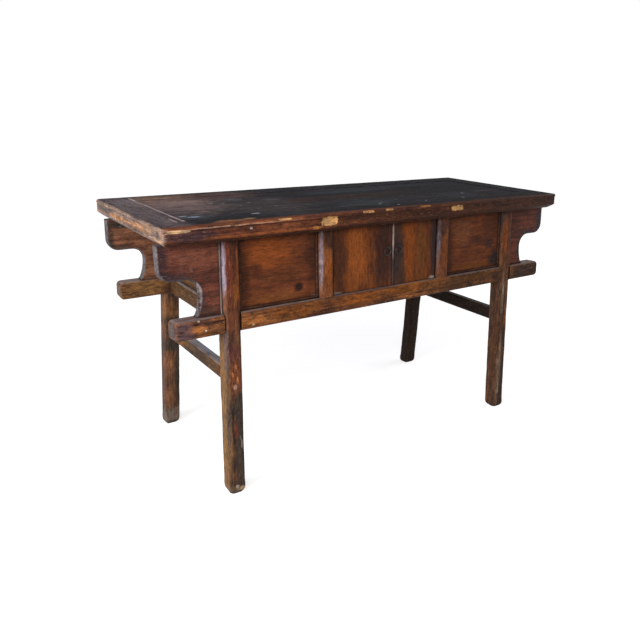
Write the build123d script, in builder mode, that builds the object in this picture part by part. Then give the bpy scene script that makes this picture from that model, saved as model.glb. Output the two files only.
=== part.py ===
from build123d import *
import os
from math import cos, radians, sin, sqrt, tan

# Altar table with splayed legs, rails that run on past the legs as stubs, scrolled spandrels and
# a shallow cabinet. +X runs along the table, the front faces -Y, and the floor is Z = 0. The
# origin is on the floor, midway between the legs. Millimetres and degrees.

# ---- the whole table ----
table_length = 1600.0
table_depth = 593.0
table_height = 857.0
top_set_back = 8.0  # the top sits this far behind the middle of the base
face_lean = 3.5  # the front and the back lean in by this as they rise
leg_splay = 1.1  # the legs also lean in along the length

# ---- top: mitred frame, floating boards, battens ----
top_thick = 54.0
member_width = 100.0
under_bevel_run = 20.0
under_bevel_rise = 14.0
low_bead = 6.0
band_set_in = 1.5
quirk = 1.5
top_bead_radius = 8.0
top_bead_turn = 115.0
corner_tenon_width = 40.0
corner_tenon_thick = 14.0
corner_tenon_edge = 30.0  # from the top's edge to the tenon
corner_tenon_up = 23.0
board_thick = 18.0
board_drop = 1.0
board_count = 3
board_gap = 0.5  # room for the boards to move
tongue_thick = 7.0
tongue_up = 40.0
tongue_length = 8.0
groove_slack = 1.0
batten_width = 34.0
dovetail_neck = 22.0
dovetail_wide = 28.0
dovetail_deep = 5.0
batten_tenon_length = 8.0
batten_tenon_width = 20.0
batten_tenon_up = 8.0
batten_tenon_thick = 20.0

# ---- front and back frames ----
cabinet_height = 216.5  # from the rail's top to the underside of the top
face_inset = 34.0  # from the top's edge, set square, to the face at the rail's top
leg_inset = 215.0  # from the table's end to the leg's middle at the rail's top
leg_width = 55.0
leg_depth = 50.0
leg_round = 12.0
leg_back_chamfer = 5.0
foot_chamfer = 7.0
leg_tenon_width = 26.0
leg_tenon_thick = 16.0
leg_tenon_length = 32.0
rail_height = 58.0
rail_depth = 50.0
rail_round = 11.0
rail_back_chamfer = 3.0
stub_inset = 33.0  # from the table's left end to the rail's end
right_stub_more = 11.0  # the right stubs are longer by this
stub_corner = 14.0
lap_depth = 25.0  # how much of the leg passes in front of the rail
door_bay = 450.0
stile_width = 52.0
stile_depth = 44.0
stile_round = 12.0
stile_tenon_width = 26.0
stile_tenon_thick = 14.0
stile_tenon_length = 20.0

# ---- ends ----
end_rail_height = 58.0
end_rail_thick = 24.0
end_rail_out = 6.5  # its outer face, from the legs' middle
end_rail_chamfer = 4.0
end_rail_tenon_height = 34.0
end_rail_tenon_thick = 12.0
end_rail_tenon_past = 12.0  # how far the tenon goes into the leg, past the lap
stretcher_floor = 361.0
stretcher_height = 48.0
stretcher_thick = 30.0
stretcher_chamfer = 4.0
stretcher_tenon_height = 30.0
stretcher_tenon_thick = 12.0
stretcher_tenon_length = 30.0

# ---- panels, beads and floor ----
panel_recess = 18.0
panel_thick = 12.0
panel_tongue = 6.0
panel_bead_width = 8.0
panel_bead_thick = 6.0
bead_chamfer = 2.0
mitre_gap = 0.3
end_panel_recess = 10.0  # behind the end rail's outer face
floor_thick = 12.0
floor_drop = 4.0  # from the rail's top to the floor's top
floor_board_count = 3
floor_batten_width = 30.0
floor_batten_height = 22.0
floor_batten_tenon = 15.0
floor_batten_place = 300.0

# ---- spandrels ----
spandrel_recess = 15.0
spandrel_thick = 25.0
spandrel_tongue = 6.0
spandrel_inset = 3.0  # from the table's end to the spandrel's outer edge
spandrel_flat_up = 113.0
spandrel_flat = 41.0
lobe_radius = 38.0
waist_width = 65.0  # from the leg to the narrowest place
waist_height = 42.0  # of the hollow under the flat
spandrel_foot = 80.0
spandrel_chamfer = 2.0
spandrel_bead_width = 6.0
spandrel_bead_thick = 5.0

# ---- doors ----
door_recess = 10.0
door_thick = 18.0
door_side_gap = 1.0
door_bottom_gap = 0.8
door_top_gap = 3.5
door_meeting = 20.0  # where the leaves meet, from the middle of the table
door_meeting_gap = 1.0
door_bead_width = 7.0
door_bead_thick = 3.0
door_bead_round = 2.0
pivot_radius = 6.0
pivot_length = 11.0
pivot_clearance = 0.06
pivot_end_gap = 0.3
stop_height = 9.0
stop_thick = 8.0
stop_gap = 0.4

# ---- ring pulls ----
pull_up = 134.0
pull_from_meeting = 24.0
eye_radius = 4.8
eye_wire = 1.5
eye_reach = 7.5
shank_width = 2.6
clinch_length = 14.0
clinch_width = 2.2
pull_clearance = 0.2
ring_radius = 13.0
ring_wire = 1.75
ring_rest_gap = 0.3
loop_sides = 24  # hammered flats round an eye or a ring

# ---- nails ----
nail_head_radius = 3.0
nail_head_sides = 8
nail_head_height = 1.2
nail_head_slope = 30.0
nail_width = 2.0
nail_length = 14.0
stub_nails = [(105.0, -31.0), (81.0, -14.0)]  # in from the stub's end, and up from the rail's top
lobe_nail = (40.0, 126.0)  # in from the spandrel's outer edge
waist_nails = [(-16.5, 142.0), (-22.5, 122.0), (15.5, 38.0)]  # in from the narrowest place

os.makedirs("parts", exist_ok=True)

# ---- frames that everything is placed by ----
top_under = table_height - top_thick
rail_top = top_under - cabinet_height
splay_slope = tan(radians(leg_splay))
top_front = top_set_back - table_depth / 2
top_back = top_set_back + table_depth / 2
leg_x = table_length / 2 - leg_inset
rail_half = table_length / 2 - stub_inset
over = table_height  # a reach past anything that is split off again

# The front face: x along the table, y up the leaning face from the rail's top, z out to the front.
FRONT = Plane(
    origin=(0, face_inset - table_depth / 2, rail_top),
    x_dir=(1, 0, 0),
    z_dir=(0, -cos(radians(face_lean)), sin(radians(face_lean))),
)
# A level cut through the front: x along the table, y in from the face, z up the face.
SECTION = Plane(origin=FRONT.origin, x_dir=FRONT.x_dir, z_dir=FRONT.y_dir)
OUTWARD = Axis(FRONT.origin, FRONT.z_dir)
FLOOR = Plane.XY
SHOULDER = Plane.XY.offset(top_under)

# The front left leg, cut across: its length is z.
leg_axis = FRONT.x_dir * sin(radians(leg_splay)) + FRONT.y_dir * cos(radians(leg_splay))
leg_across = FRONT.x_dir * cos(radians(leg_splay)) - FRONT.y_dir * sin(radians(leg_splay))
LEG = Plane(
    origin=FRONT.from_local_coords(Vector(-leg_x, 0, -leg_depth / 2)),
    x_dir=leg_across,
    z_dir=leg_axis,
)
# The left end: x to the front, y up, z out past the end. It holds the middles of both left legs.
END = Plane(
    origin=(-leg_x, 0, LEG.origin.Z),
    x_dir=(0, -1, 0),
    z_dir=Vector(-leg_axis.Z, 0, leg_axis.X),
)


def turned(plane):
    """A plane of the front, turned to the back of the table."""
    return Plane(
        origin=(0, -plane.origin.Y, plane.origin.Z),
        x_dir=(-1, 0, 0),
        z_dir=(0, -plane.z_dir.Y, plane.z_dir.Z),
    )


def leg_side(up, out):
    """x of the front left leg's outer side, for out -1, or of its inner side, for out 1."""
    half = leg_width / 2 / cos(radians(leg_splay))
    return -leg_x + up * splay_slope + out * half


# ---- bottom rail and leg blanks, whose crossing is shared out by the lap ----
with BuildPart() as rail_blank:
    with BuildSketch(FRONT):
        with Locations((right_stub_more / 2, -rail_height / 2)):
            RectangleRounded(2 * rail_half + right_stub_more, rail_height, stub_corner)
    extrude(amount=-rail_depth)
    fillet(rail_blank.faces().sort_by(OUTWARD)[-1].edges(), rail_round)
    chamfer(rail_blank.faces().sort_by(OUTWARD)[0].edges(), rail_back_chamfer)

with BuildPart() as leg_blank:
    with BuildSketch(LEG.offset(-over)) as leg_section:
        Rectangle(leg_width, leg_depth)
        fillet(leg_section.vertices().group_by(Axis.Y)[0], leg_round)
        chamfer(leg_section.vertices().group_by(Axis.Y)[-1], leg_back_chamfer)
    extrude(amount=2 * over)
    split(bisect_by=FLOOR, keep=Keep.TOP)
    split(bisect_by=SHOULDER, keep=Keep.BOTTOM)
    chamfer(leg_blank.faces().sort_by(Axis.Z)[0].edges(), foot_chamfer)

with BuildPart() as leg_tenon:
    with BuildSketch(LEG):
        Rectangle(leg_tenon_width, leg_tenon_thick)
    extrude(amount=over)
    split(bisect_by=SHOULDER, keep=Keep.TOP)
    split(bisect_by=SHOULDER.offset(leg_tenon_length), keep=Keep.BOTTOM)

# The block where the leg passes in front of the rail.
with BuildPart() as lap_block:
    with BuildSketch(LEG.offset(-2 * rail_height)):
        with Locations((0, (lap_depth - leg_depth) / 2)):
            Rectangle(leg_width, lap_depth)
    extrude(amount=3 * rail_height)
    add(rail_blank.part, mode=Mode.INTERSECT)

# ---- end rail, stretcher and end panel of the left end ----
end_rail_low = -rail_height
end_rail_middle = end_rail_out - end_rail_thick / 2
BACK_OF_LEG = FRONT.offset(-leg_depth)


def between_legs(reach):
    """Trims the part being built to the room between the legs, and reach deep into each of them."""
    split(bisect_by=BACK_OF_LEG.offset(reach), keep=Keep.BOTTOM)
    split(bisect_by=turned(BACK_OF_LEG).offset(reach), keep=Keep.BOTTOM)


def end_bar(out, low, height, thick, reach):
    """A bar of the left end, from leg to leg, whose ends go reach deep into the legs."""
    with BuildPart() as bar:
        with BuildSketch(END.offset(out - thick / 2)):
            with Locations((0, low + height / 2)):
                Rectangle(table_depth, height)
        extrude(amount=thick)
        between_legs(reach)
    return bar.part


end_rail_tenon_low = end_rail_low + (end_rail_height - end_rail_tenon_height) / 2
end_rail_reach = leg_depth - lap_depth + end_rail_tenon_past
with BuildPart() as end_rail_blank:
    add(end_bar(end_rail_middle, end_rail_low, end_rail_height, end_rail_thick, 0))
    chamfer(end_rail_blank.edges().filter_by(Axis.Y).sort_by(Axis.X)[:2], end_rail_chamfer)
    add(
        end_bar(
            end_rail_middle,
            end_rail_tenon_low,
            end_rail_tenon_height,
            end_rail_tenon_thick,
            end_rail_reach,
        )
    )

stretcher_low = stretcher_floor - END.origin.Z
stretcher_tenon_low = stretcher_low + (stretcher_height - stretcher_tenon_height) / 2
with BuildPart() as stretcher_left:
    add(end_bar(0, stretcher_low, stretcher_height, stretcher_thick, 0))
    chamfer(stretcher_left.edges().filter_by(Axis.Y), stretcher_chamfer)
    add(
        end_bar(
            0,
            stretcher_tenon_low,
            stretcher_tenon_height,
            stretcher_tenon_thick,
            stretcher_tenon_length,
        )
    )

end_rail_high = end_rail_low + end_rail_height
end_panel_out = end_rail_out - end_panel_recess - panel_thick / 2
with BuildPart() as panel_end_left:
    with BuildSketch(END.offset(end_panel_out - panel_thick / 2)):
        with Locations((0, end_rail_high - panel_tongue)):
            Rectangle(table_depth, over, align=(Align.CENTER, Align.MIN))
    extrude(amount=panel_thick)
    between_legs(panel_tongue)
    split(bisect_by=SHOULDER, keep=Keep.BOTTOM)

with BuildPart() as end_rail_left:
    add(end_rail_blank.part)
    add(panel_end_left.part, mode=Mode.SUBTRACT)

# ---- stile and fixed panels ----
stile_x = -(door_bay + stile_width) / 2
with BuildPart() as stile_blank:
    with BuildSketch(SECTION.offset(-rail_round)) as stile_section:
        with Locations((stile_x, stile_depth / 2)):
            Rectangle(stile_width, stile_depth)
        fillet(stile_section.vertices().group_by(Axis.Y)[0], stile_round)
    extrude(amount=over)
    split(bisect_by=SHOULDER, keep=Keep.BOTTOM)

# The rail's round stops under the stile, on this land.
with BuildPart() as stile_land:
    add(stile_blank.part)
    split(bisect_by=SECTION, keep=Keep.BOTTOM)

with BuildPart() as stile_tenon:
    with BuildSketch(SECTION.offset(-stile_tenon_length)):
        with Locations((stile_x, stile_depth / 2)):
            Rectangle(stile_tenon_width, stile_tenon_thick)
    extrude(amount=over)
    split(bisect_by=SHOULDER.offset(stile_tenon_length), keep=Keep.BOTTOM)


def bay_corners(grow, high):
    """Corners of the left fixed bay, from its bottom left, widened by grow on three sides."""
    return [
        (leg_side(0, 1) - grow, -grow),
        (stile_x - stile_width / 2 + grow, -grow),
        (stile_x - stile_width / 2 + grow, high),
        (leg_side(high, 1) - grow, high),
    ]


bay_reach = cabinet_height + top_thick
with BuildPart() as panel_front_left:
    with BuildSketch(FRONT.offset(-panel_recess)):
        with BuildLine():
            Polyline(*bay_corners(panel_tongue, bay_reach), close=True)
        make_face()
    extrude(amount=-panel_thick)
    split(bisect_by=SHOULDER, keep=Keep.BOTTOM)

with BuildPart() as panel_back_centre_blank:
    with BuildSketch(FRONT.offset(-panel_recess)):
        with Locations((0, -panel_tongue)):
            Rectangle(
                door_bay + 2 * panel_tongue, bay_reach, align=(Align.CENTER, Align.MIN)
            )
    extrude(amount=-panel_thick)
    split(bisect_by=SHOULDER, keep=Keep.BOTTOM)

with BuildPart() as panel_bead_left:
    with BuildSketch(FRONT.offset(-panel_recess)) as bead_outline:
        with BuildLine():
            Polyline(*bay_corners(0, bay_reach), close=True)
        make_face()
        offset(amount=-panel_bead_width, kind=Kind.INTERSECTION, mode=Mode.SUBTRACT)
        with Locations(bay_corners(0, bay_reach)[0]):
            Rectangle(3 * panel_bead_width, mitre_gap, rotation=45, mode=Mode.SUBTRACT)
        with Locations(bay_corners(0, bay_reach)[1]):
            Rectangle(3 * panel_bead_width, mitre_gap, rotation=-45, mode=Mode.SUBTRACT)
    extrude(amount=panel_bead_thick)
    split(bisect_by=SHOULDER, keep=Keep.BOTTOM)
    bead_long_edges = panel_bead_left.edges().group_by(OUTWARD)[-1]
    chamfer(
        bead_long_edges.filter_by(lambda edge: edge.length > 2 * panel_bead_width), bead_chamfer
    )

with BuildPart() as stile_front_left:
    add(stile_blank.part)
    split(bisect_by=SECTION, keep=Keep.TOP)
    add(stile_tenon.part)
    add(panel_front_left.part, mode=Mode.SUBTRACT)

# ---- spandrel and its bead ----
spandrel_out = spandrel_inset - table_length / 2
waist_up = spandrel_flat_up - waist_height
waist_x = leg_side(waist_up, -1) - waist_width
flat_end = spandrel_out + lobe_radius + spandrel_flat
with BuildPart() as spandrel_blank:
    with BuildSketch(FRONT.offset(-spandrel_recess)):
        with BuildLine():
            outer = Line((spandrel_out, bay_reach), (spandrel_out, spandrel_flat_up + lobe_radius))
            lobe = RadiusArc(
                outer @ 1, (spandrel_out + lobe_radius, spandrel_flat_up), -lobe_radius
            )
            Line(lobe @ 1, (flat_end, spandrel_flat_up))
            EllipticalCenterArc(
                (flat_end, waist_up), waist_x - flat_end, waist_height, start_angle=0, arc_size=90
            )
            foot = TangentArc(
                (waist_x, waist_up), (leg_side(0, -1) - spandrel_foot, 0), tangent=(0, -1)
            )
            Polyline(
                foot @ 1,
                (leg_side(0, -1) + spandrel_tongue, 0),
                (leg_side(bay_reach, -1) + spandrel_tongue, bay_reach),
                outer @ 0,
            )
        make_face()
    extrude(amount=-spandrel_thick)
    for end in (-1, 0):
        outline = spandrel_blank.faces().sort_by(OUTWARD)[end].edges()
        chamfer(outline.filter_by(lambda edge: edge.center().X < waist_x), spandrel_chamfer)
    split(bisect_by=SHOULDER, keep=Keep.BOTTOM)

with BuildPart() as spandrel_bead_front_left:
    with BuildSketch(FRONT.offset(-spandrel_recess)):
        with BuildLine():
            Polyline(
                (leg_side(0, -1), 0),
                (leg_side(bay_reach, -1), bay_reach),
                (leg_side(bay_reach, -1) - spandrel_bead_width, bay_reach),
                (leg_side(0, -1) - spandrel_bead_width, 0),
                close=True,
            )
        make_face()
    extrude(amount=spandrel_bead_thick)
    split(bisect_by=SHOULDER, keep=Keep.BOTTOM)
    front_edges = spandrel_bead_front_left.edges().group_by(OUTWARD)[-1]
    chamfer(
        front_edges.filter_by(lambda edge: edge.length > 2 * spandrel_bead_width), bead_chamfer
    )

# ---- legs ----
with BuildPart() as leg_front_left:
    add(leg_blank.part)
    add(rail_blank.part, mode=Mode.SUBTRACT)
    add(lap_block.part)
    add(leg_tenon.part)
    for fitted in (panel_front_left, spandrel_blank, panel_end_left, end_rail_left, stretcher_left):
        add(fitted.part, mode=Mode.SUBTRACT)

with BuildPart() as leg_front_right:
    mirror(leg_front_left.part, about=Plane.YZ)

with BuildPart() as leg_back_left:
    mirror(leg_front_left.part, about=Plane.XZ)

with BuildPart() as leg_back_right:
    mirror(leg_back_left.part, about=Plane.YZ)

# ---- nails at the left end ----
stub_nail_places = [(across - rail_half, up) for across, up in stub_nails]
spandrel_nail_places = [(waist_x + across, up) for across, up in waist_nails]
spandrel_nail_places.append((spandrel_out + lobe_nail[0], lobe_nail[1]))
with BuildPart() as spandrel_nails:
    for face, places in ((0, stub_nail_places), (-spandrel_recess, spandrel_nail_places)):
        with BuildSketch(FRONT.offset(face)):
            with Locations(*places):
                Rectangle(nail_width, nail_width)
        extrude(amount=-nail_length)
        with BuildSketch(FRONT.offset(face)):
            with Locations(*places):
                RegularPolygon(nail_head_radius, nail_head_sides)
        extrude(amount=nail_head_height, taper=nail_head_slope)

with BuildPart() as spandrel_front_left:
    add(spandrel_blank.part)
    add(spandrel_nails.part, mode=Mode.SUBTRACT)

with BuildPart() as spandrel_front_right:
    mirror(spandrel_blank.part, about=Plane.YZ)

with BuildPart() as spandrel_back_left:
    mirror(spandrel_blank.part, about=Plane.XZ)

with BuildPart() as spandrel_back_right:
    mirror(spandrel_back_left.part, about=Plane.YZ)

with BuildPart() as spandrel_bead_front_right:
    mirror(spandrel_bead_front_left.part, about=Plane.YZ)

with BuildPart() as spandrel_bead_back_left:
    mirror(spandrel_bead_front_left.part, about=Plane.XZ)

with BuildPart() as spandrel_bead_back_right:
    mirror(spandrel_bead_back_left.part, about=Plane.YZ)

with BuildPart() as end_rail_right:
    mirror(end_rail_left.part, about=Plane.YZ)

with BuildPart() as stretcher_right:
    mirror(stretcher_left.part, about=Plane.YZ)

with BuildPart() as panel_end_right:
    mirror(panel_end_left.part, about=Plane.YZ)

with BuildPart() as panel_front_right:
    mirror(panel_front_left.part, about=Plane.YZ)

with BuildPart() as panel_bead_right:
    mirror(panel_bead_left.part, about=Plane.YZ)

with BuildPart() as panel_back_left:
    mirror(panel_front_left.part, about=Plane.XZ)

with BuildPart() as panel_back_right:
    mirror(panel_front_right.part, about=Plane.XZ)

with BuildPart() as panel_back_centre:
    mirror(panel_back_centre_blank.part, about=Plane.XZ)

with BuildPart() as stile_front_right:
    mirror(stile_front_left.part, about=Plane.YZ)

with BuildPart() as stile_back_left:
    mirror(stile_front_left.part, about=Plane.XZ)
    add(panel_back_centre.part, mode=Mode.SUBTRACT)

with BuildPart() as stile_back_right:
    mirror(stile_back_left.part, about=Plane.YZ)

# ---- doors: each leaf turns on a dowel at its outer edge ----
pivot_x = door_bay / 2 - door_side_gap - door_thick / 2
pivot_deep = door_recess + door_thick / 2
door_high = (cabinet_height - door_top_gap) / cos(radians(face_lean))


def door_leaf(side, meeting):
    """A leaf from its pivot, on the left for side -1, to its meeting edge."""
    with BuildPart() as leaf:
        with BuildSketch(SECTION.offset(door_bottom_gap)):
            with Locations((side * pivot_x, pivot_deep)):
                Circle(door_thick / 2)
            with Locations(((side * pivot_x + meeting) / 2, pivot_deep)):
                Rectangle(abs(side * pivot_x - meeting), door_thick)
        extrude(amount=door_high - door_bottom_gap)
        with BuildSketch(SECTION.offset(door_bottom_gap - pivot_length)):
            with Locations((side * pivot_x, pivot_deep)):
                Circle(pivot_radius)
        extrude(amount=door_high - door_bottom_gap + 2 * pivot_length + door_top_gap)
    return leaf.part


with BuildPart() as pivot_hole:
    with BuildSketch(SECTION.offset(door_bottom_gap - pivot_length - pivot_end_gap)):
        with Locations((-pivot_x, pivot_deep), (pivot_x, pivot_deep)):
            Circle(pivot_radius + pivot_clearance)
    extrude(amount=door_high + 2 * (pivot_length + pivot_end_gap) + door_top_gap - door_bottom_gap)


def wire_loop(plane, radius, wire):
    """A ring forged from square bar, about the plane's normal."""
    with BuildPart() as loop:
        with BuildSketch(plane.offset(-wire)):
            RegularPolygon(radius + wire, loop_sides)
            RegularPolygon(radius - wire, loop_sides, major_radius=False, mode=Mode.SUBTRACT)
        extrude(amount=2 * wire)
    return loop.part


def eye_middle(across):
    """The middle of the eye that a ring hangs in."""
    return FRONT.from_local_coords(Vector(across, pull_up, eye_reach - door_recess))


def pull_pin(across):
    """A split pin through the leaf: its eye in front, its two ends clinched behind."""
    behind = door_recess + door_thick + pull_clearance
    with BuildPart() as pin:
        eye_plane = Plane(origin=eye_middle(across), x_dir=FRONT.y_dir, z_dir=FRONT.x_dir)
        add(wire_loop(eye_plane, eye_radius, eye_wire))
        with BuildSketch(FRONT.offset(eye_reach - eye_radius - door_recess)):
            with Locations((across, pull_up)):
                Rectangle(shank_width, shank_width)
        extrude(amount=-(eye_reach - eye_radius - door_recess + behind + clinch_width / 2))
        with BuildSketch(FRONT.offset(-behind)):
            with Locations((across, pull_up)):
                Rectangle(clinch_width, clinch_length)
        extrude(amount=-clinch_width)
    return pin.part


def ring_pivot(across):
    """Where a ring's bar hangs in its eye, with its corners just clear of it."""
    room = eye_radius - eye_wire - ring_rest_gap
    return eye_middle(across) - Vector(0, 0, sqrt(room**2 - ring_wire**2) - ring_wire)


def pull_ring(across):
    """A ring that hangs plumb in its eye."""
    centre = ring_pivot(across) - Vector(0, 0, ring_radius)
    return wire_loop(Plane(origin=centre, z_dir=(0, -1, 0)), ring_radius, ring_wire)


def pull_hole(across):
    """The hole that a pin's shank goes through."""
    with BuildPart() as hole:
        with BuildSketch(FRONT.offset(-door_recess)):
            with Locations((across, pull_up)):
                Circle(shank_width / 2 / cos(radians(45)) + pull_clearance)
        extrude(amount=-door_thick)
    return hole.part


pull_left_x = door_meeting - pull_from_meeting
pull_right_x = door_meeting + pull_from_meeting

with BuildPart() as door_left:
    add(door_leaf(-1, door_meeting - door_meeting_gap / 2))
    add(pull_hole(pull_left_x), mode=Mode.SUBTRACT)

with BuildPart() as door_right:
    add(door_leaf(1, door_meeting + door_meeting_gap / 2))
    with BuildSketch(FRONT.offset(-door_recess)):
        with Locations((door_meeting + door_meeting_gap / 2, door_bottom_gap)):
            Rectangle(
                door_bead_width, door_high - door_bottom_gap, align=(Align.MIN, Align.MIN)
            )
    extrude(amount=door_bead_thick)
    door_bead_edges = door_right.edges().group_by(OUTWARD)[-1]
    fillet(door_bead_edges.filter_by(Axis(FRONT.origin, FRONT.y_dir)), door_bead_round)
    add(pull_hole(pull_right_x), mode=Mode.SUBTRACT)

with BuildPart() as pull_pin_left:
    add(pull_pin(pull_left_x))

with BuildPart() as pull_pin_right:
    add(pull_pin(pull_right_x))

with BuildPart() as pull_ring_left:
    add(pull_ring(pull_left_x))

with BuildPart() as pull_ring_right:
    add(pull_ring(pull_right_x))

# The strip behind the doors that they close against.
with BuildPart() as door_stop:
    with BuildSketch(SECTION):
        with Locations((0, door_recess + door_thick + stop_gap)):
            Rectangle(
                2 * (pivot_x - door_thick), stop_thick, align=(Align.CENTER, Align.MIN)
            )
    extrude(amount=stop_height)

# ---- bottom rails ----
with BuildPart() as rail_joints:
    add(rail_blank.part)
    add(lap_block.part, mode=Mode.SUBTRACT)
    mirror(lap_block.part, about=Plane.YZ, mode=Mode.SUBTRACT)
    add(stile_land.part)
    mirror(stile_land.part, about=Plane.YZ)
    for fitted in (stile_front_left, panel_front_left, panel_end_left, end_rail_left):
        add(fitted.part, mode=Mode.SUBTRACT)
        mirror(fitted.part, about=Plane.YZ, mode=Mode.SUBTRACT)

# ---- floor of the cabinet ----
BACK_OF_RAIL = FRONT.offset(-rail_depth)
END_RAIL_BACK = END.offset(end_rail_out - end_rail_thick)
RIGHT_RAIL_BACK = Plane(
    origin=(-END_RAIL_BACK.origin.X, 0, END_RAIL_BACK.origin.Z),
    x_dir=(0, 1, 0),
    z_dir=(-END_RAIL_BACK.z_dir.X, 0, END_RAIL_BACK.z_dir.Z),
)
floor_top = rail_top - floor_drop


def floor_batten(across):
    """A bearer under the floor, tenoned into both bottom rails."""
    with BuildPart() as batten:
        with BuildSketch(Plane.XY.offset(floor_top - floor_thick)):
            with Locations((across, 0)):
                Rectangle(floor_batten_width, table_depth)
        extrude(amount=-floor_batten_height)
        split(bisect_by=BACK_OF_RAIL.offset(floor_batten_tenon), keep=Keep.BOTTOM)
        split(bisect_by=turned(BACK_OF_RAIL).offset(floor_batten_tenon), keep=Keep.BOTTOM)
    return batten.part


with BuildPart() as floor_batten_left:
    add(floor_batten(-floor_batten_place))

with BuildPart() as floor_batten_right:
    add(floor_batten(floor_batten_place))

with BuildPart() as floor_blank:
    with BuildSketch(Plane.XY.offset(floor_top)):
        Rectangle(table_length, table_depth)
    extrude(amount=-floor_thick)
    for inner_face in (END_RAIL_BACK, RIGHT_RAIL_BACK, BACK_OF_RAIL, turned(BACK_OF_RAIL)):
        split(bisect_by=inner_face, keep=Keep.BOTTOM)
    for leg in (leg_front_left, leg_front_right, leg_back_left, leg_back_right):
        add(leg.part, mode=Mode.SUBTRACT)

with BuildPart() as bottom_rail_front:
    add(rail_joints.part)
    for fitted in (pivot_hole, floor_batten_left, floor_batten_right, spandrel_nails):
        add(fitted.part, mode=Mode.SUBTRACT)

with BuildPart() as bottom_rail_back:
    mirror(rail_joints.part, about=Plane.XZ)
    for fitted in (panel_back_centre, floor_batten_left, floor_batten_right):
        add(fitted.part, mode=Mode.SUBTRACT)

# ---- top ----
inner_length = table_length - 2 * member_width
inner_depth = table_depth - 2 * member_width
board_low = top_under + top_thick - board_drop - board_thick


def edge_section(plane):
    """The moulded section: x in from the table's edge, y up from the underside."""
    with BuildSketch(plane) as section:
        with BuildLine():
            under = Line((member_width, 0), (under_bevel_run, 0))
            bevel = Line(under @ 1, (band_set_in, under_bevel_rise))
            bead = ThreePointArc(
                bevel @ 1,
                (0, under_bevel_rise + low_bead / 2),
                (band_set_in, under_bevel_rise + low_bead),
            )
            thumb = CenterArc(
                (top_bead_radius, top_thick - top_bead_radius), top_bead_radius, 90, top_bead_turn
            )
            Polyline(
                bead @ 1,
                (band_set_in, (thumb @ 1).Y - 2 * quirk),
                ((thumb @ 1).X + quirk, (thumb @ 1).Y - quirk / 2),
                thumb @ 1,
            )
            Polyline(thumb @ 0, (member_width, top_thick), (member_width, 0))
        make_face()
    return section.sketch


def corner(x_side, y_side):
    """The upright plane of one mitre, with its normal towards the long member."""
    y_edge = top_front if y_side < 0 else top_back
    return Plane(
        origin=(x_side * table_length / 2, y_edge, 0), x_dir=(0, 0, 1), z_dir=(-x_side, y_side, 0)
    )


with BuildPart() as board_groove:
    with BuildSketch(Plane.XY.offset(top_under + tongue_up)):
        with Locations((0, top_set_back)):
            Rectangle(
                inner_length + 2 * (tongue_length + groove_slack),
                inner_depth + 2 * (tongue_length + groove_slack),
            )
    extrude(amount=tongue_thick)

with BuildPart() as corner_tenons:
    with BuildSketch(Plane.XY.offset(top_under + corner_tenon_up)):
        y_in = corner_tenon_edge + corner_tenon_width / 2
        with Locations((0, top_front + y_in), (0, top_back - y_in)):
            Rectangle(table_length - 2 * band_set_in, corner_tenon_width)
    extrude(amount=corner_tenon_thick)


def top_batten(across):
    """A bearer with a dovetail along its top, stub tenoned into the long members."""
    section_plane = Plane(
        origin=(across, top_set_back, top_under), x_dir=(1, 0, 0), z_dir=(0, -1, 0)
    )
    body_high = board_low - top_under
    with BuildPart() as batten:
        with BuildSketch(section_plane):
            with Locations((0, body_high / 2)):
                Rectangle(batten_width, body_high)
            with BuildLine():
                Polyline(
                    (-dovetail_neck / 2, body_high),
                    (dovetail_neck / 2, body_high),
                    (dovetail_wide / 2, body_high + dovetail_deep),
                    (-dovetail_wide / 2, body_high + dovetail_deep),
                    close=True,
                )
            make_face()
        extrude(amount=inner_depth / 2, both=True)
        with BuildSketch(section_plane):
            with Locations((0, batten_tenon_up + batten_tenon_thick / 2)):
                Rectangle(batten_tenon_width, batten_tenon_thick)
        extrude(amount=inner_depth / 2 + batten_tenon_length, both=True)
    return batten.part


end_batten_x = (
    END.offset(end_panel_out).origin.X + (top_under - END.origin.Z) * leg_axis.X / leg_axis.Z
)
with BuildPart() as top_batten_left:
    add(top_batten(end_batten_x))
    for leg in (leg_front_left, leg_back_left):
        add(leg.part, mode=Mode.SUBTRACT)

with BuildPart() as top_batten_centre:
    add(top_batten(0))

with BuildPart() as top_batten_right:
    mirror(top_batten_left.part, about=Plane.YZ)

battens = (top_batten_left, top_batten_centre, top_batten_right)


def long_member(y_side):
    """The blank of the front member, for side -1, or of the back one."""
    edge = top_front if y_side < 0 else top_back
    with BuildPart() as member:
        plane = Plane(origin=(0, edge, top_under), x_dir=(0, -y_side, 0), z_dir=(-y_side, 0, 0))
        extrude(edge_section(plane.offset(-table_length / 2)), amount=table_length)
        for x_side in (-1, 1):
            split(bisect_by=corner(x_side, y_side), keep=Keep.TOP)
    return member.part


def end_member(x_side):
    """The member of the left end, for side -1, or of the right one."""
    edge = (x_side * table_length / 2, top_set_back, top_under)
    with BuildPart() as member:
        plane = Plane(origin=edge, x_dir=(-x_side, 0, 0), z_dir=(0, x_side, 0))
        extrude(edge_section(plane.offset(-table_depth / 2)), amount=table_depth)
        for y_side in (-1, 1):
            split(bisect_by=corner(x_side, y_side), keep=Keep.BOTTOM)
        add(corner_tenons.part, mode=Mode.SUBTRACT)
        add(board_groove.part, mode=Mode.SUBTRACT)
    return member.part


with BuildPart() as top_left_end_member:
    add(end_member(-1))

with BuildPart() as top_right_end_member:
    add(end_member(1))

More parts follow.
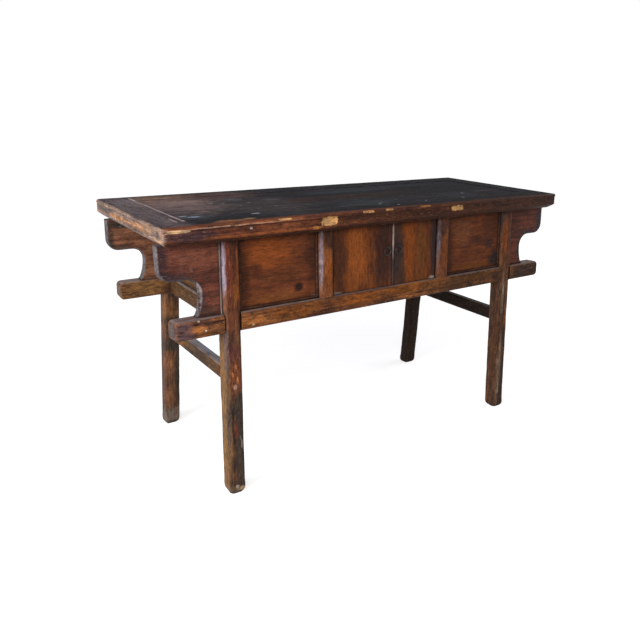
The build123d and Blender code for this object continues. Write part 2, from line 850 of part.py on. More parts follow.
with BuildPart() as top_front_member:
    add(corner_tenons.part)
    split(bisect_by=Plane.XZ.offset(-top_set_back), keep=Keep.TOP)
    add(long_member(-1))
    add(board_groove.part, mode=Mode.SUBTRACT)
    add(pivot_hole.part, mode=Mode.SUBTRACT)
    for fitted in (leg_tenon, stile_tenon):
        add(fitted.part, mode=Mode.SUBTRACT)
        mirror(fitted.part, about=Plane.YZ, mode=Mode.SUBTRACT)
    for fitted in battens:
        add(fitted.part, mode=Mode.SUBTRACT)

with BuildPart() as top_back_member:
    add(corner_tenons.part)
    split(bisect_by=Plane.XZ.offset(-top_set_back), keep=Keep.BOTTOM)
    add(long_member(1))
    add(board_groove.part, mode=Mode.SUBTRACT)
    for fitted in (leg_back_left, leg_back_right, stile_back_left, stile_back_right, *battens):
        add(fitted.part, mode=Mode.SUBTRACT)

# The floating boards, before they are parted.
with BuildPart() as board_blank:
    with BuildSketch(Plane.XY.offset(board_low)):
        with Locations((0, top_set_back)):
            Rectangle(inner_length - 2 * board_gap, inner_depth - 2 * board_gap)
    extrude(amount=board_thick)
    with BuildSketch(Plane.XY.offset(top_under + tongue_up)):
        with Locations((0, top_set_back)):
            Rectangle(inner_length + 2 * tongue_length, inner_depth + 2 * tongue_length)
    extrude(amount=tongue_thick)
    for fitted in battens:
        add(fitted.part, mode=Mode.SUBTRACT)


def top_board(index):
    """One of the floating boards, counted from the front."""
    pitch = inner_depth / board_count
    low = top_front + member_width + index * pitch
    first = index == 0
    last = index == board_count - 1
    front_edge = low - member_width / 2 if first else low + board_gap / 2
    back_edge = low + pitch + member_width / 2 if last else low + pitch - board_gap / 2
    with BuildPart() as board:
        add(board_blank.part)
        with BuildSketch(SHOULDER):
            with Locations((0, (front_edge + back_edge) / 2)):
                Rectangle(table_length, back_edge - front_edge)
        extrude(amount=top_thick, mode=Mode.INTERSECT)
    return board.part


def floor_board(index):
    """One of the boards of the cabinet's floor, counted from the front."""
    depth = -2 * BACK_OF_RAIL.origin.Y
    pitch = depth / floor_board_count
    low = BACK_OF_RAIL.origin.Y + index * pitch
    first = index == 0
    last = index == floor_board_count - 1
    front_edge = low - rail_depth if first else low + board_gap / 2
    back_edge = low + pitch + rail_depth if last else low + pitch - board_gap / 2
    with BuildPart() as board:
        add(floor_blank.part)
        with BuildSketch(Plane.XY.offset(floor_top - floor_thick)):
            with Locations((0, (front_edge + back_edge) / 2)):
                Rectangle(table_length, back_edge - front_edge)
        extrude(amount=floor_thick, mode=Mode.INTERSECT)
    return board.part


with BuildPart() as top_board_front:
    add(top_board(0))

with BuildPart() as top_board_middle:
    for index in range(1, board_count - 1):
        add(top_board(index))

with BuildPart() as top_board_back:
    add(top_board(board_count - 1))

with BuildPart() as floor_board_front:
    add(floor_board(0))

with BuildPart() as floor_board_middle:
    for index in range(1, floor_board_count - 1):
        add(floor_board(index))

with BuildPart() as floor_board_back:
    add(floor_board(floor_board_count - 1))

pieces = {
    "top_front_member": top_front_member,
    "top_back_member": top_back_member,
    "top_left_end_member": top_left_end_member,
    "top_right_end_member": top_right_end_member,
    "top_board_front": top_board_front,
    "top_board_middle": top_board_middle,
    "top_board_back": top_board_back,
    "top_batten_left": top_batten_left,
    "top_batten_centre": top_batten_centre,
    "top_batten_right": top_batten_right,
    "leg_front_left": leg_front_left,
    "leg_front_right": leg_front_right,
    "leg_back_left": leg_back_left,
    "leg_back_right": leg_back_right,
    "bottom_rail_front": bottom_rail_front,
    "bottom_rail_back": bottom_rail_back,
    "end_rail_left": end_rail_left,
    "end_rail_right": end_rail_right,
    "stretcher_left": stretcher_left,
    "stretcher_right": stretcher_right,
    "spandrel_front_left": spandrel_front_left,
    "spandrel_front_right": spandrel_front_right,
    "spandrel_back_left": spandrel_back_left,
    "spandrel_back_right": spandrel_back_right,
    "spandrel_bead_front_left": spandrel_bead_front_left,
    "spandrel_bead_front_right": spandrel_bead_front_right,
    "spandrel_bead_back_left": spandrel_bead_back_left,
    "spandrel_bead_back_right": spandrel_bead_back_right,
    "spandrel_nails": spandrel_nails,
    "stile_front_left": stile_front_left,
    "stile_front_right": stile_front_right,
    "stile_back_left": stile_back_left,
    "stile_back_right": stile_back_right,
    "panel_front_left": panel_front_left,
    "panel_front_right": panel_front_right,
    "panel_bead_left": panel_bead_left,
    "panel_bead_right": panel_bead_right,
    "panel_back_left": panel_back_left,
    "panel_back_centre": panel_back_centre,
    "panel_back_right": panel_back_right,
    "panel_end_left": panel_end_left,
    "panel_end_right": panel_end_right,
    "floor_board_front": floor_board_front,
    "floor_board_middle": floor_board_middle,
    "floor_board_back": floor_board_back,
    "floor_batten_left": floor_batten_left,
    "floor_batten_right": floor_batten_right,
    "door_left": door_left,
    "door_right": door_right,
    "door_stop": door_stop,
    "pull_pin_left": pull_pin_left,
    "pull_pin_right": pull_pin_right,
    "pull_ring_left": pull_ring_left,
    "pull_ring_right": pull_ring_right,
}
for name, piece in pieces.items():
    piece.part.label = name
    export_step(piece.part, f"parts/{name}.step")
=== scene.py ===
# %% [markdown]
# # An altar table in worn lacquer
# The frame holds the table's wood and iron at their real sizes. This lesson gives them their
# finish: old elm, stained red-brown, lacquered dark, and then rubbed by two hundred years of
# hands, dust and candle smoke. First the frame is loaded. The dressed table has to stay the size
# of the real one.

# %% Load the frame
from math import cos, hypot, pi, radians, sin, tan

import bmesh
import bpy
from mathutils import Matrix, Vector, noise


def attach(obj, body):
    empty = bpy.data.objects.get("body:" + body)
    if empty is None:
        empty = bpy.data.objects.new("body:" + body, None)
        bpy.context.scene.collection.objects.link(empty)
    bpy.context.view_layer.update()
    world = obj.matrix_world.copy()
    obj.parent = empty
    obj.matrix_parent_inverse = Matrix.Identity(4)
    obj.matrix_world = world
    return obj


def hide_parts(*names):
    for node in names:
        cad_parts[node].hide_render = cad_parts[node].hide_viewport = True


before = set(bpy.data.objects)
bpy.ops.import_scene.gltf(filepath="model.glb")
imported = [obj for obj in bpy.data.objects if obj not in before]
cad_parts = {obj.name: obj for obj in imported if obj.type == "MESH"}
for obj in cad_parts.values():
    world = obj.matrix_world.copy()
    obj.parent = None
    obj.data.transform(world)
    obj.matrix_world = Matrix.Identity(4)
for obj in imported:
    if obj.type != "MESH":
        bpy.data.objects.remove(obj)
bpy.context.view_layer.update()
scene = bpy.context.scene

# %% [markdown]
# ## The camera
# A camera looks along its own -Z, with +Y up. So it is first tipped from looking straight down
# to looking level, less the dip, and then turned to its heading. The roll comes first of all.

# %% Camera
camera_place = Vector((-1.3816, -1.8854, 1.1845))
camera_heading = radians(34.2)
camera_dip = radians(18.85)
camera_roll = radians(1.375)

camera = bpy.data.objects.new("camera", bpy.data.cameras.new("camera"))
camera.data.sensor_width = 36.0
camera.data.lens = 36.42
camera.matrix_world = (
    Matrix.Translation(camera_place)
    @ Matrix.Rotation(-camera_heading, 4, "Z")
    @ Matrix.Rotation(pi / 2 - camera_dip, 4, "X")
    @ Matrix.Rotation(camera_roll, 4, "Z")
)
scene.collection.objects.link(camera)
scene.camera = camera
print("camera at", tuple(round(v, 3) for v in camera_place), "lens", camera.data.lens, "mm")

# %% [markdown]
# ## Nodes and colours
# A colour that is picked by eye is in sRGB, and a shader works in linear light, so one function
# turns the one into the other. Another adds a node, sets it and links it in a single call, which
# keeps a long shader readable. What is linked is a node or one of its sockets, and everything
# else is a value.

# %% Colour and node helpers
def linear(hex_colour):
    """A colour that a shader can use, from its sRGB hex value."""
    parts = [int(hex_colour[place : place + 2], 16) / 255 for place in (1, 3, 5)]
    return [p / 12.92 if p <= 0.04045 else ((p + 0.055) / 1.055) ** 2.4 for p in parts] + [1.0]


def add(tree, kind, links=None, **settings):
    """Adds a node with its settings. Links go by the socket's name or number, and each is a
    node, which means its first output, or a socket, or a value."""
    node = tree.nodes.new(kind)
    for name, value in settings.items():
        setattr(node, name, value)
    for name, value in (links or {}).items():
        socket = node.inputs[name]
        if isinstance(value, bpy.types.Node):
            value = value.outputs[0]
        if isinstance(value, bpy.types.NodeSocket):
            tree.links.new(value, socket)
        else:
            socket.default_value = value
    return node


def new_material(name):
    """A material and its empty node tree."""
    material = bpy.data.materials.new(name)
    material.use_nodes = True
    material.node_tree.nodes.clear()
    return material, material.node_tree


print("a mid brown in linear light:", [round(v, 3) for v in linear("#6b4330")])

# %% [markdown]
# ## Stage and light
# The table stands on a white floor in a white studio. A white that the camera sees, and that
# gloss reflects, is not the light that falls on the wood: Light Path tells the two apart, so the
# background can be white while the lamps stay at a plain level. The floor adds some of its own
# white for the camera, more of it further out, where the floor runs into the background. Only
# the rest is lit, so that the table keeps a soft shadow.

# %% World
ambient = 0.23


def looked_at(tree):
    """1 on what the camera sees, also by way of gloss or glass, and 0 on light for the wood."""
    rays = add(tree, "ShaderNodeLightPath").outputs
    seen = rays["Is Camera Ray"]
    for kind_of_ray in ("Is Glossy Ray", "Is Transmission Ray"):
        seen = add(tree, "ShaderNodeMath", {0: seen, 1: rays[kind_of_ray]}, operation="MAXIMUM")
    return seen


world = bpy.data.worlds.new("studio")
scene.world = world
world.use_nodes = True
tree = world.node_tree
tree.nodes.clear()
soft = add(tree, "ShaderNodeBackground", {"Color": linear("#f4f6ff"), "Strength": ambient})
white = add(tree, "ShaderNodeBackground", {"Color": (1, 1, 1, 1), "Strength": 1.0})
either = add(tree, "ShaderNodeMixShader", {0: looked_at(tree), 1: soft, 2: white})
add(tree, "ShaderNodeOutputWorld", {"Surface": either})
print("light from all round:", ambient)

# %% Floor
floor_half_size = 30.0
own_white_near, own_white_far = 0.70, 0.88
whiter_from, whitest_at = 0.9, 2.8

bm = bmesh.new()
bmesh.ops.create_grid(bm, x_segments=1, y_segments=1, size=floor_half_size)
floor_mesh = bpy.data.meshes.new("studio_floor")
bm.to_mesh(floor_mesh)
bm.free()
floor = bpy.data.objects.new("studio_floor", floor_mesh)
scene.collection.objects.link(floor)

paper, tree = new_material("paper_matt_white")
spot = add(tree, "ShaderNodeTexCoord").outputs["Object"]
distance = add(tree, "ShaderNodeVectorMath", {0: spot}, operation="LENGTH").outputs["Value"]
own_white = add(tree, "ShaderNodeMapRange", {
    "Value": distance, "From Min": whiter_from, "From Max": whitest_at,
    "To Min": own_white_near, "To Max": own_white_far,
})
seen = add(tree, "ShaderNodeMath", {0: looked_at(tree), 1: own_white}, operation="MULTIPLY")
lit = add(tree, "ShaderNodeBsdfDiffuse", {"Color": linear("#c8c8c8")})
own = add(tree, "ShaderNodeEmission", {"Color": (1, 1, 1, 1), "Strength": seen})
both = add(tree, "ShaderNodeAddShader", {0: lit, 1: own})
add(tree, "ShaderNodeOutputMaterial", {"Surface": both})
floor_mesh.materials.append(paper)
print("floor", 2 * floor_half_size, "m square, its own white", own_white_near, "to", own_white_far)

# %% Lamps
lamps = {
    # name: (place, aimed at, power in W, size in m, colour)
    "key": ((-2.8, -3.3, 2.6), (-0.1, -0.1, 0.6), 120.0, 2.2, "#fff3e4"),
    "left_sheen": ((-3.3, -0.9, 1.5), (-0.4, -0.1, 0.6), 140.0, 1.6, "#e6ecff"),
    "right_fill": ((3.5, -0.1, 1.4), (0.3, 0.0, 0.5), 50.0, 2.2, "#f6f4ff"),
}
for name, (place, target, power, size, colour) in lamps.items():
    lamp = bpy.data.objects.new(name, bpy.data.lights.new(name, "AREA"))
    lamp.data.energy = power
    lamp.data.size = size
    lamp.data.color = linear(colour)[:3]
    lamp.location = place
    lamp.rotation_euler = (Vector(target) - Vector(place)).to_track_quat("-Z", "Y").to_euler()
    scene.collection.objects.link(lamp)
print("lamps", ", ".join(lamps))

# %% [markdown]
# ## Places on the table
# Wear and stains sit where hands, cloths and candles met the wood, so they are placed in the
# table's own frame. The front leans in as it rises, and a point on it is easiest to give as x
# along the table and a height up the face from the top of the bottom rail.

# %% Points on the front
front_lean = radians(3.5)
front_foot = Vector((0.0, -0.2625, 0.5865))
front_up = Vector((0.0, sin(front_lean), cos(front_lean)))
front_out = Vector((0.0, -cos(front_lean), sin(front_lean)))


def on_front(x, up, out=0.0):
    """A point of the front face, in metres."""
    return front_foot + Vector((x, 0, 0)) + front_up * up + front_out * out


def front_marks(depth, rows):
    """Marks from rows of x, height up the front, half width, half height, colour, and strength
    or squareness."""
    return [
        (on_front(x, up), (wide, depth, high), tint, last)
        for x, up, wide, high, tint, last in rows
    ]


print("the doors' middle is at", tuple(round(v, 3) for v in on_front(0.02, 0.1)))

# %% [markdown]
# ## Old lacquered elm
# Elm is a coarse, open-grained wood. Here it was stained, covered with a thin dark lacquer by
# brush, and rubbed down, so the lacquer is nearly black where it is whole, red-brown where it
# is thin and orange where the wood shows through. Noise in the table's own coordinates is used
# for all of it, because it never repeats from board to board and is counted in metres. Every
# pattern is stretched along the grain. Growth rings are about 9 mm apart. Pores are drawn three
# times too coarse, at 1.5 mm, because real ones would not show.

# %% Patterns of the wood and its lacquer
patterns = {
    # name: size across the grain and along it, detail, roughness, distortion
    "rings": (0.009, 0.24, 5.0, 0.66, 0.5),
    "pores": (0.0015, 0.022, 2.0, 0.5, 0.0),
    "clouds": (0.10, 0.20, 5.0, 0.65, 0.4),
    "brush": (0.030, 0.075, 4.0, 0.7, 0.0),
    "fleck": (1.0, 3.0, 4.0, 0.8, 0.0),  # in sizes of a fleck, which each board has its own of
    "mottle": (0.011, 0.0264, 4.0, 0.7, 0.3),
    "planing": (0.045, 0.135, 1.0, 0.5, 0.0),
}


def pattern(tree, place, grain, seed, name, times):
    """One pattern, so many times as coarse, with its grain along axis 0, 1 or 2."""
    across, along, detail, roughness, distortion = patterns[name]
    scale = [1 / (times * across)] * 3
    scale[grain] = 1 / (times * along)
    spot = add(tree, "ShaderNodeMapping", {
        "Vector": place, "Scale": scale, "Location": (seed, seed * 1.7, -seed),
    })
    return add(tree, "ShaderNodeTexNoise", {
        "Vector": spot, "Scale": 1.0,
        "Detail": detail, "Roughness": roughness, "Distortion": distortion,
    })


print("patterns:", ", ".join(patterns))

# %% [markdown]
# ## Lacquer, thick and thin
# Slow clouds, the growth rings and the flecks together say how thick the lacquer is, and a
# colour ramp turns that into its three tones. Pores are darker than the wood round them, and
# rings leave streaks. A mottle of about a centimetre turns the tone a little cooler and warmer,
# as brushed lacquer that has aged unevenly is, and without it a board looks printed.

# %% Tones, grain and mottle
def lacquer_tones(tree, thin, tones, contrast):
    """Dark, middle and warm tones, by how thin the lacquer is."""
    ramp = add(tree, "ShaderNodeValToRGB", {"Fac": thin})
    stops = ramp.color_ramp.elements
    stops[0].position, stops[0].color = 0.5 - contrast, linear(tones[0])
    stops[1].position, stops[1].color = 0.5 + contrast, linear(tones[2])
    stops.new(0.5).color = linear(tones[1])
    return ramp.outputs[0]


def grained(tree, colour, drawn, streaked, mottled):
    """A colour darkened in the pores, streaked along the rings, and mottled cool and warm."""
    pores = add(tree, "ShaderNodeMapRange", {
        "Value": drawn["pores"], "From Min": 0.35, "From Max": 0.6, "To Min": 0.68, "To Max": 1.08,
    })
    streaks = add(tree, "ShaderNodeMapRange", {
        "Value": drawn["rings"], "From Min": 0.36, "From Max": 0.64,
        "To Min": 1 - streaked, "To Max": 1 + streaked,
    })
    grain = add(tree, "ShaderNodeMath", {0: pores, 1: streaks}, operation="MULTIPLY")
    warmth = add(tree, "ShaderNodeMapRange", {
        "Value": drawn["mottle"], "From Min": 0.36, "From Max": 0.64,
    })
    cool = [1 - mottled * share for share in (1.0, 0.88, 0.70)] + [1.0]
    warm = [1 + mottled * share for share in (1.15, 0.90, 0.60)] + [1.0]
    mottle = add(tree, "ShaderNodeMix", {0: warmth, 6: cool, 7: warm}, data_type="RGBA")
    for shade in (grain.outputs[0], mottle.outputs[2]):
        links = {0: 1.0, 6: colour, 7: shade}
        colour = add(tree, "ShaderNodeMix", links, data_type="RGBA", blend_type="MULTIPLY")
        colour = colour.outputs[2]
    return colour


print("a ramp for three tones, and grain and mottle over them")

# %% [markdown]
# ## Stains and chips
# Some places belong to one board alone: the mark of a bowl, a corner that hands have rubbed, a
# chip of fresh wood. Each could be painted on a texture for its board. Here it is an ellipsoid
# in the table's own frame, because that needs no unwrapping and is moved by a number. It is a
# centre, three radii and a colour, and noise breaks up its border. A stain has a wide border and
# a strength. A chip has a sharp one, and a squareness: each squaring of the distances makes its
# outline more like a box, as wood splits along its grain.

# %% Stains, chips, and how they lie over a colour
def laid_over(tree, colour, layers):
    """A colour under layers, each of them its share at a point and its own colour."""
    for share, tint in layers:
        links = {0: share, 6: colour, 7: linear(tint)}
        colour = add(tree, "ShaderNodeMix", links, data_type="RGBA").outputs[2]
    return colour


def marks_on(tree, place, drawn, marks, chipped):
    """Layers for stains, or for chips, which end in a squareness and not in a strength."""
    if not marks:
        return []
    ragged, speckled = (0.8, 1.6) if chipped else (1.7, 0.9)
    links = {0: drawn["brush"].outputs[1], 1: (0.5, 0.5, 0.5)}
    warp = add(tree, "ShaderNodeVectorMath", links, operation="SUBTRACT")
    layers = []
    for centre, radii, tint, last in marks:
        scale = [1 / r for r in radii]
        shift = [-c / r for c, r in zip(centre, radii)]
        near = add(tree, "ShaderNodeMapping", {"Vector": place, "Location": shift, "Scale": scale})
        links = {0: warp, 1: (ragged, ragged, ragged), 2: near}
        near = add(tree, "ShaderNodeVectorMath", links, operation="MULTIPLY_ADD")
        for _ in range(last if chipped else 0):
            near = add(tree, "ShaderNodeVectorMath", {0: near, 1: near}, operation="MULTIPLY")
        far = add(tree, "ShaderNodeVectorMath", {0: near}, operation="LENGTH").outputs["Value"]
        links = {0: drawn["fleck"], 1: speckled, 2: far}
        far = add(tree, "ShaderNodeMath", links, operation="MULTIPLY_ADD")
        if chipped:
            links = {"Value": far, "From Min": 1.72, "From Max": 1.60}
            share = add(tree, "ShaderNodeMapRange", links)
        else:
            links = {"Value": far, "From Min": 1.85, "From Max": 0.95, "To Max": last}
            share = add(tree, "ShaderNodeMapRange", links, interpolation_type="SMOOTHSTEP")
        layers.append((share, tint))
    return layers


print("a mark is a centre, three radii, a colour, and a strength or a squareness")

# %% [markdown]
# ## Wear, grime, dust and painted shade
# Wear follows the shape. The Bevel node bends the normal near an edge, so where it differs from
# the true normal there is an arris that has been rubbed. Ambient Occlusion finds the inner
# corners, and there the colour is darkened towards the grime colour: painted shade, and the
# smoke that stays there. Brush-sized noise breaks the rubbed arris up. Small flecks are
# either pits filled with grime or worn down to the wood, and dust lies only on what faces up.

# %% Layers of wear and painted shade
arris_reach = 0.0035
# how far from an inner corner the painted shade and the grime reach
corner_reach = 0.022
samples_of_shape = 6


def weathered_and_shaded(tree, drawn, rubbed, grime_and_shade, flecked, dusty, dust):
    """Layers of wear, grime, dust and painted shade in inner corners, the share of rubbed arris,
    and the normal that is bent at edges.
    """
    fleck, brush = drawn["fleck"], drawn["brush"]
    links = {"Value": fleck, "From Min": 0.54, "From Max": 0.66, "To Max": flecked}
    sunk = add(tree, "ShaderNodeMapRange", links)
    links = {"Value": fleck, "From Min": 0.40, "From Max": 0.28, "To Max": flecked}
    bare = add(tree, "ShaderNodeMapRange", links)
    layers = [(sunk, grime_and_shade), (bare, rubbed)]
    true_normal = add(tree, "ShaderNodeNewGeometry").outputs["Normal"]
    if dusty:
        upward = add(tree, "ShaderNodeSeparateXYZ", {"Vector": true_normal}).outputs["Z"]
        links = {"Value": upward, "From Min": 0.60, "From Max": 0.97, "To Max": dusty}
        settled = add(tree, "ShaderNodeMapRange", links)
        links = {"Value": brush, "From Min": 0.35, "From Max": 0.55, "To Min": 0.45}
        lying = add(tree, "ShaderNodeMapRange", links)
        dusted = add(tree, "ShaderNodeMath", {0: settled, 1: lying}, operation="MULTIPLY")
        layers.append((dusted, dust))
    bent = add(tree, "ShaderNodeBevel", {"Radius": arris_reach}, samples=samples_of_shape)
    same = add(tree, "ShaderNodeVectorMath", {0: true_normal, 1: bent}, operation="DOT_PRODUCT")
    links = {"Value": same.outputs["Value"], "From Min": 0.995, "From Max": 0.86}
    arris = add(tree, "ShaderNodeMapRange", links)
    open_air = add(
        tree, "ShaderNodeAmbientOcclusion", {"Distance": corner_reach}, samples=samples_of_shape
    ).outputs["AO"]
    broken = add(tree, "ShaderNodeMapRange", {"Value": brush, "From Min": 0.44, "From Max": 0.64})
    worn = add(tree, "ShaderNodeMath", {0: arris, 1: broken}, operation="MULTIPLY")
    worn = add(tree, "ShaderNodeMath", {0: worn, 1: open_air}, operation="MULTIPLY")
    # painted shade: the colour turns towards the grime colour where Ambient Occlusion finds an
    # inner corner
    links = {"Value": open_air, "From Min": 0.92, "From Max": 0.35, "To Max": 0.9}
    corner_shade = add(tree, "ShaderNodeMapRange", links)
    return layers + [(worn, rubbed), (corner_shade, grime_and_shade)], worn, bent


def skin(tree, drawn, thin, worn, bent, gloss):
    """Its roughness, duller where it is thin or rubbed, and its bump, with waves of the plane."""
    dull = add(tree, "ShaderNodeMapRange", {
        "Value": thin, "From Min": 0.35, "From Max": 0.65, "To Min": gloss, "To Max": gloss + 0.22,
    })
    dull = add(tree, "ShaderNodeMix", {"Factor": worn, "A": dull, "B": 0.75})
    relief = add(tree, "ShaderNodeMix", {"Factor": 0.35, "A": drawn["rings"], "B": drawn["pores"]})
    relief = add(tree, "ShaderNodeMix", {"Factor": 0.45, "A": relief, "B": drawn["fleck"]})
    links = {"Height": drawn["planing"], "Strength": 0.5, "Distance": 0.003, "Normal": bent}
    waves = add(tree, "ShaderNodeBump", links)
    links = {"Height": relief, "Strength": 0.45, "Distance": 0.0014, "Normal": waves}
    return dull, add(tree, "ShaderNodeBump", links)


print("wear reaches", arris_reach, "m from an edge, and smoke", corner_reach, "m from a corner")

# %% One recipe for every lacquered board
def lacquered_elm(
    name, grain, tones, rubbed, grime_and_shade, stains=(), chips=(), seed=0.0, gloss=0.45, shine=0.05,
    flecked=0.7, fleck_size=0.005, streaked=0.12, contrast=0.09, coarse=1.0, dusty=0.0,
    dust="#8f8d92", mottled=0.25,
):
    """Elm with its grain along axis 0, 1 or 2. tones are dark, middle and warm, rubbed is the
    colour of its arrises, and the grime colour is that of its pits and of the painted shade in
    its inner corners. gloss is its least roughness and shine its specular level. flecked,
    streaked, mottled and dusty say how strong these are, coarse how far apart its rings lie, and
    contrast how slowly one tone turns into the next."""
    material, tree = new_material(name)
    place = add(tree, "ShaderNodeTexCoord").outputs["Object"]
    times = {"rings": coarse, "fleck": fleck_size}
    drawn = {key: pattern(tree, place, grain, seed, key, times.get(key, 1.0)) for key in patterns}
    thin = add(tree, "ShaderNodeMix", {"Factor": 0.45, "A": drawn["clouds"], "B": drawn["rings"]})
    thin = add(tree, "ShaderNodeMix", {"Factor": 0.30, "A": thin, "B": drawn["fleck"]})
    colour = lacquer_tones(tree, thin, tones, contrast)
    colour = laid_over(tree, colour, marks_on(tree, place, drawn, stains, chipped=False))
    colour = laid_over(tree, colour, marks_on(tree, place, drawn, chips, chipped=True))
    colour = grained(tree, colour, drawn, streaked, mottled)
    layers, worn, bent = weathered_and_shaded(tree, drawn, rubbed, grime_and_shade, flecked, dusty, dust)
    colour = laid_over(tree, colour, layers)
    dull, bump = skin(tree, drawn, thin, worn, bent, gloss)
    shader = add(tree, "ShaderNodeBsdfPrincipled", {
        "Base Color": colour, "Roughness": dull, "Normal": bump, "Specular IOR Level": shine,
    })
    add(tree, "ShaderNodeOutputMaterial", {"Surface": shader})
    print(name, "with", len(stains), "stains and", len(chips), "chips")
    return material


# %% [markdown]
# ## The finishes of the table
# Each kind of board could have a node tree of its own. One recipe with other numbers keeps them
# related, as they are on a table that was lacquered in one go. The numbers are the direction of
# the grain, three tones, and the stains, rubbed places and painted shade that only that board
# has. A mark can be far larger than its board. It then tints all of it, and that is how one
# finish serves all four legs, though the one at the back right is painted nearly black, as
# shade.

# %% Cabinet front: fixed panels, grain from end to end
panel_marks = front_marks(0.05, [
    # the left panel
    (-0.45, 0.165, 0.085, 0.06, "#8a4a22", 0.75),
    (-0.545, 0.11, 0.030, 0.13, "#3a241a", 0.8),
    (-0.295, 0.15, 0.028, 0.09, "#3a241c", 0.75),
    (-0.43, 0.022, 0.12, 0.017, "#7d4b28", 0.75),
    (-0.349, 0.045, 0.017, 0.017, "#241a17", 0.95),
    (-0.488, 0.115, 0.020, 0.026, "#47281b", 0.7),
    (-0.40, 0.085, 0.060, 0.018, "#53301d", 0.6),
    (-0.284, 0.006, 0.018, 0.007, "#8a8a88", 0.8),
    (-0.545, 0.004, 0.020, 0.005, "#82827e", 0.6),
    (-0.2745, 0.11, 0.003, 0.11, "#4c4440", 0.6),
    # the right panel
    (0.36, 0.155, 0.060, 0.05, "#70472e", 0.7),
    (0.42, 0.022, 0.10, 0.014, "#6e411f", 0.75),
    (0.50, 0.10, 0.030, 0.022, "#2e262a", 0.7),
    (0.535, 0.035, 0.026, 0.034, "#26262a", 0.9),
    (0.51, 0.17, 0.05, 0.05, "#432b20", 0.7),
    (0.295, 0.09, 0.016, 0.12, "#3c281f", 0.7),
    (0.44, 0.115, 0.05, 0.014, "#3a2620", 0.6),
])
# thin brushed lacquer: an even red-brown satin, orange where the middle of a panel was wiped
panel_elm = lacquered_elm(
    "elm_panel_brushed_lacquer", 0, ("#40261c", "#613622", "#78442a"), "#8c5a38", "#1d1513",
    panel_marks, seed=3.1, streaked=0.05, flecked=0.45, mottled=0.22,
)

# %% Doors, grain upright
door_marks = front_marks(0.05, [
    (-0.125, 0.13, 0.045, 0.13, "#8c4e24", 0.85),
    (-0.195, 0.11, 0.026, 0.14, "#43291e", 0.8),
    (-0.02, 0.11, 0.040, 0.14, "#362420", 0.85),
    (-0.150, 0.03, 0.030, 0.04, "#7a4420", 0.6),
    (-0.212, 0.004, 0.022, 0.005, "#85827c", 0.6),
    (0.045, 0.10, 0.036, 0.13, "#332d2b", 0.85),
    (0.098, 0.12, 0.028, 0.17, "#7e441e", 0.85),
    (0.150, 0.12, 0.030, 0.14, "#6b4223", 0.7),
    (0.210, 0.12, 0.017, 0.15, "#2b292c", 0.85),
    (0.212, 0.004, 0.022, 0.006, "#a09c94", 0.75),
    (0.0225, 0.175, 0.0030, 0.070, "#9a8a84", 0.95),
    (0.0235, 0.05, 0.0035, 0.08, "#37353b", 0.8),
])
# the same lacquer on upright boards: bands of orange and near black from top to bottom
door_elm = lacquered_elm(
    "elm_door_brushed_lacquer", 2, ("#41261b", "#63371f", "#7d4622"), "#8a5c38", "#1b1412",
    door_marks, seed=7.4, streaked=0.09, flecked=0.5, mottled=0.18,
)

# %% Scrolled spandrels
spandrel_marks = front_marks(0.06, [
    (-0.70, 0.18, 0.07, 0.035, "#6f4434", 0.6),
    (-0.785, 0.16, 0.020, 0.09, "#34282a", 0.8),
    (-0.745, 0.120, 0.05, 0.016, "#332c30", 0.8),
    (-0.68, 0.04, 0.020, 0.05, "#3a2a2a", 0.7),
    (-0.655, 0.012, 0.03, 0.014, "#4a3a30", 0.6),
    (0.78, 0.15, 0.020, 0.09, "#34343a", 0.8),
    (0.73, 0.118, 0.05, 0.010, "#34323a", 0.7),
    (0.675, 0.06, 0.018, 0.05, "#33292a", 0.8),
])
# lacquer with a dusty bloom and a painted cool sheen: a purplish red-brown whose arrises have gone
# grey
spandrel_elm = lacquered_elm(
    "elm_spandrel_brushed_lacquer", 0, ("#452a22", "#683c2f", "#7a4939"), "#8e8683", "#1d1716",
    spandrel_marks, seed=1.9, streaked=0.06, mottled=0.28,
)

spandrel_back_marks = [
    ((-0.787, 0.25, 0.72), (0.014, 0.08, 0.07), "#2e2926", 0.85),
    # painted shadow of the top along the board's upper edge
    ((-0.750, 0.25, 0.784), (0.08, 0.08, 0.014), "#2a2b28", 0.85),
    ((-0.745, 0.25, 0.700), (0.04, 0.08, 0.010), "#4b3f3a", 0.7),
    ((0.72, 0.25, 0.70), (0.12, 0.08, 0.16), "#3a2a20", 0.7),
]
# hardly any lacquer: plain stained wood, dry and mottled
spandrel_back_elm = lacquered_elm(
    "elm_spandrel_thin_lacquer", 0, ("#3f2a20", "#6a4532", "#855a40"), "#8e8478", "#1d1716",
    spandrel_back_marks, seed=1.3, contrast=0.07, fleck_size=0.007, mottled=0.35,
)
# sawn end grain round the scrolls: rough, and grey with dust
spandrel_edge_elm = lacquered_elm(
    "elm_sawn_edge_dusty", 0, ("#3d3836", "#5c5653", "#7b7470"), "#9a9692", "#26201d",
    seed=6.6, gloss=0.6,
)

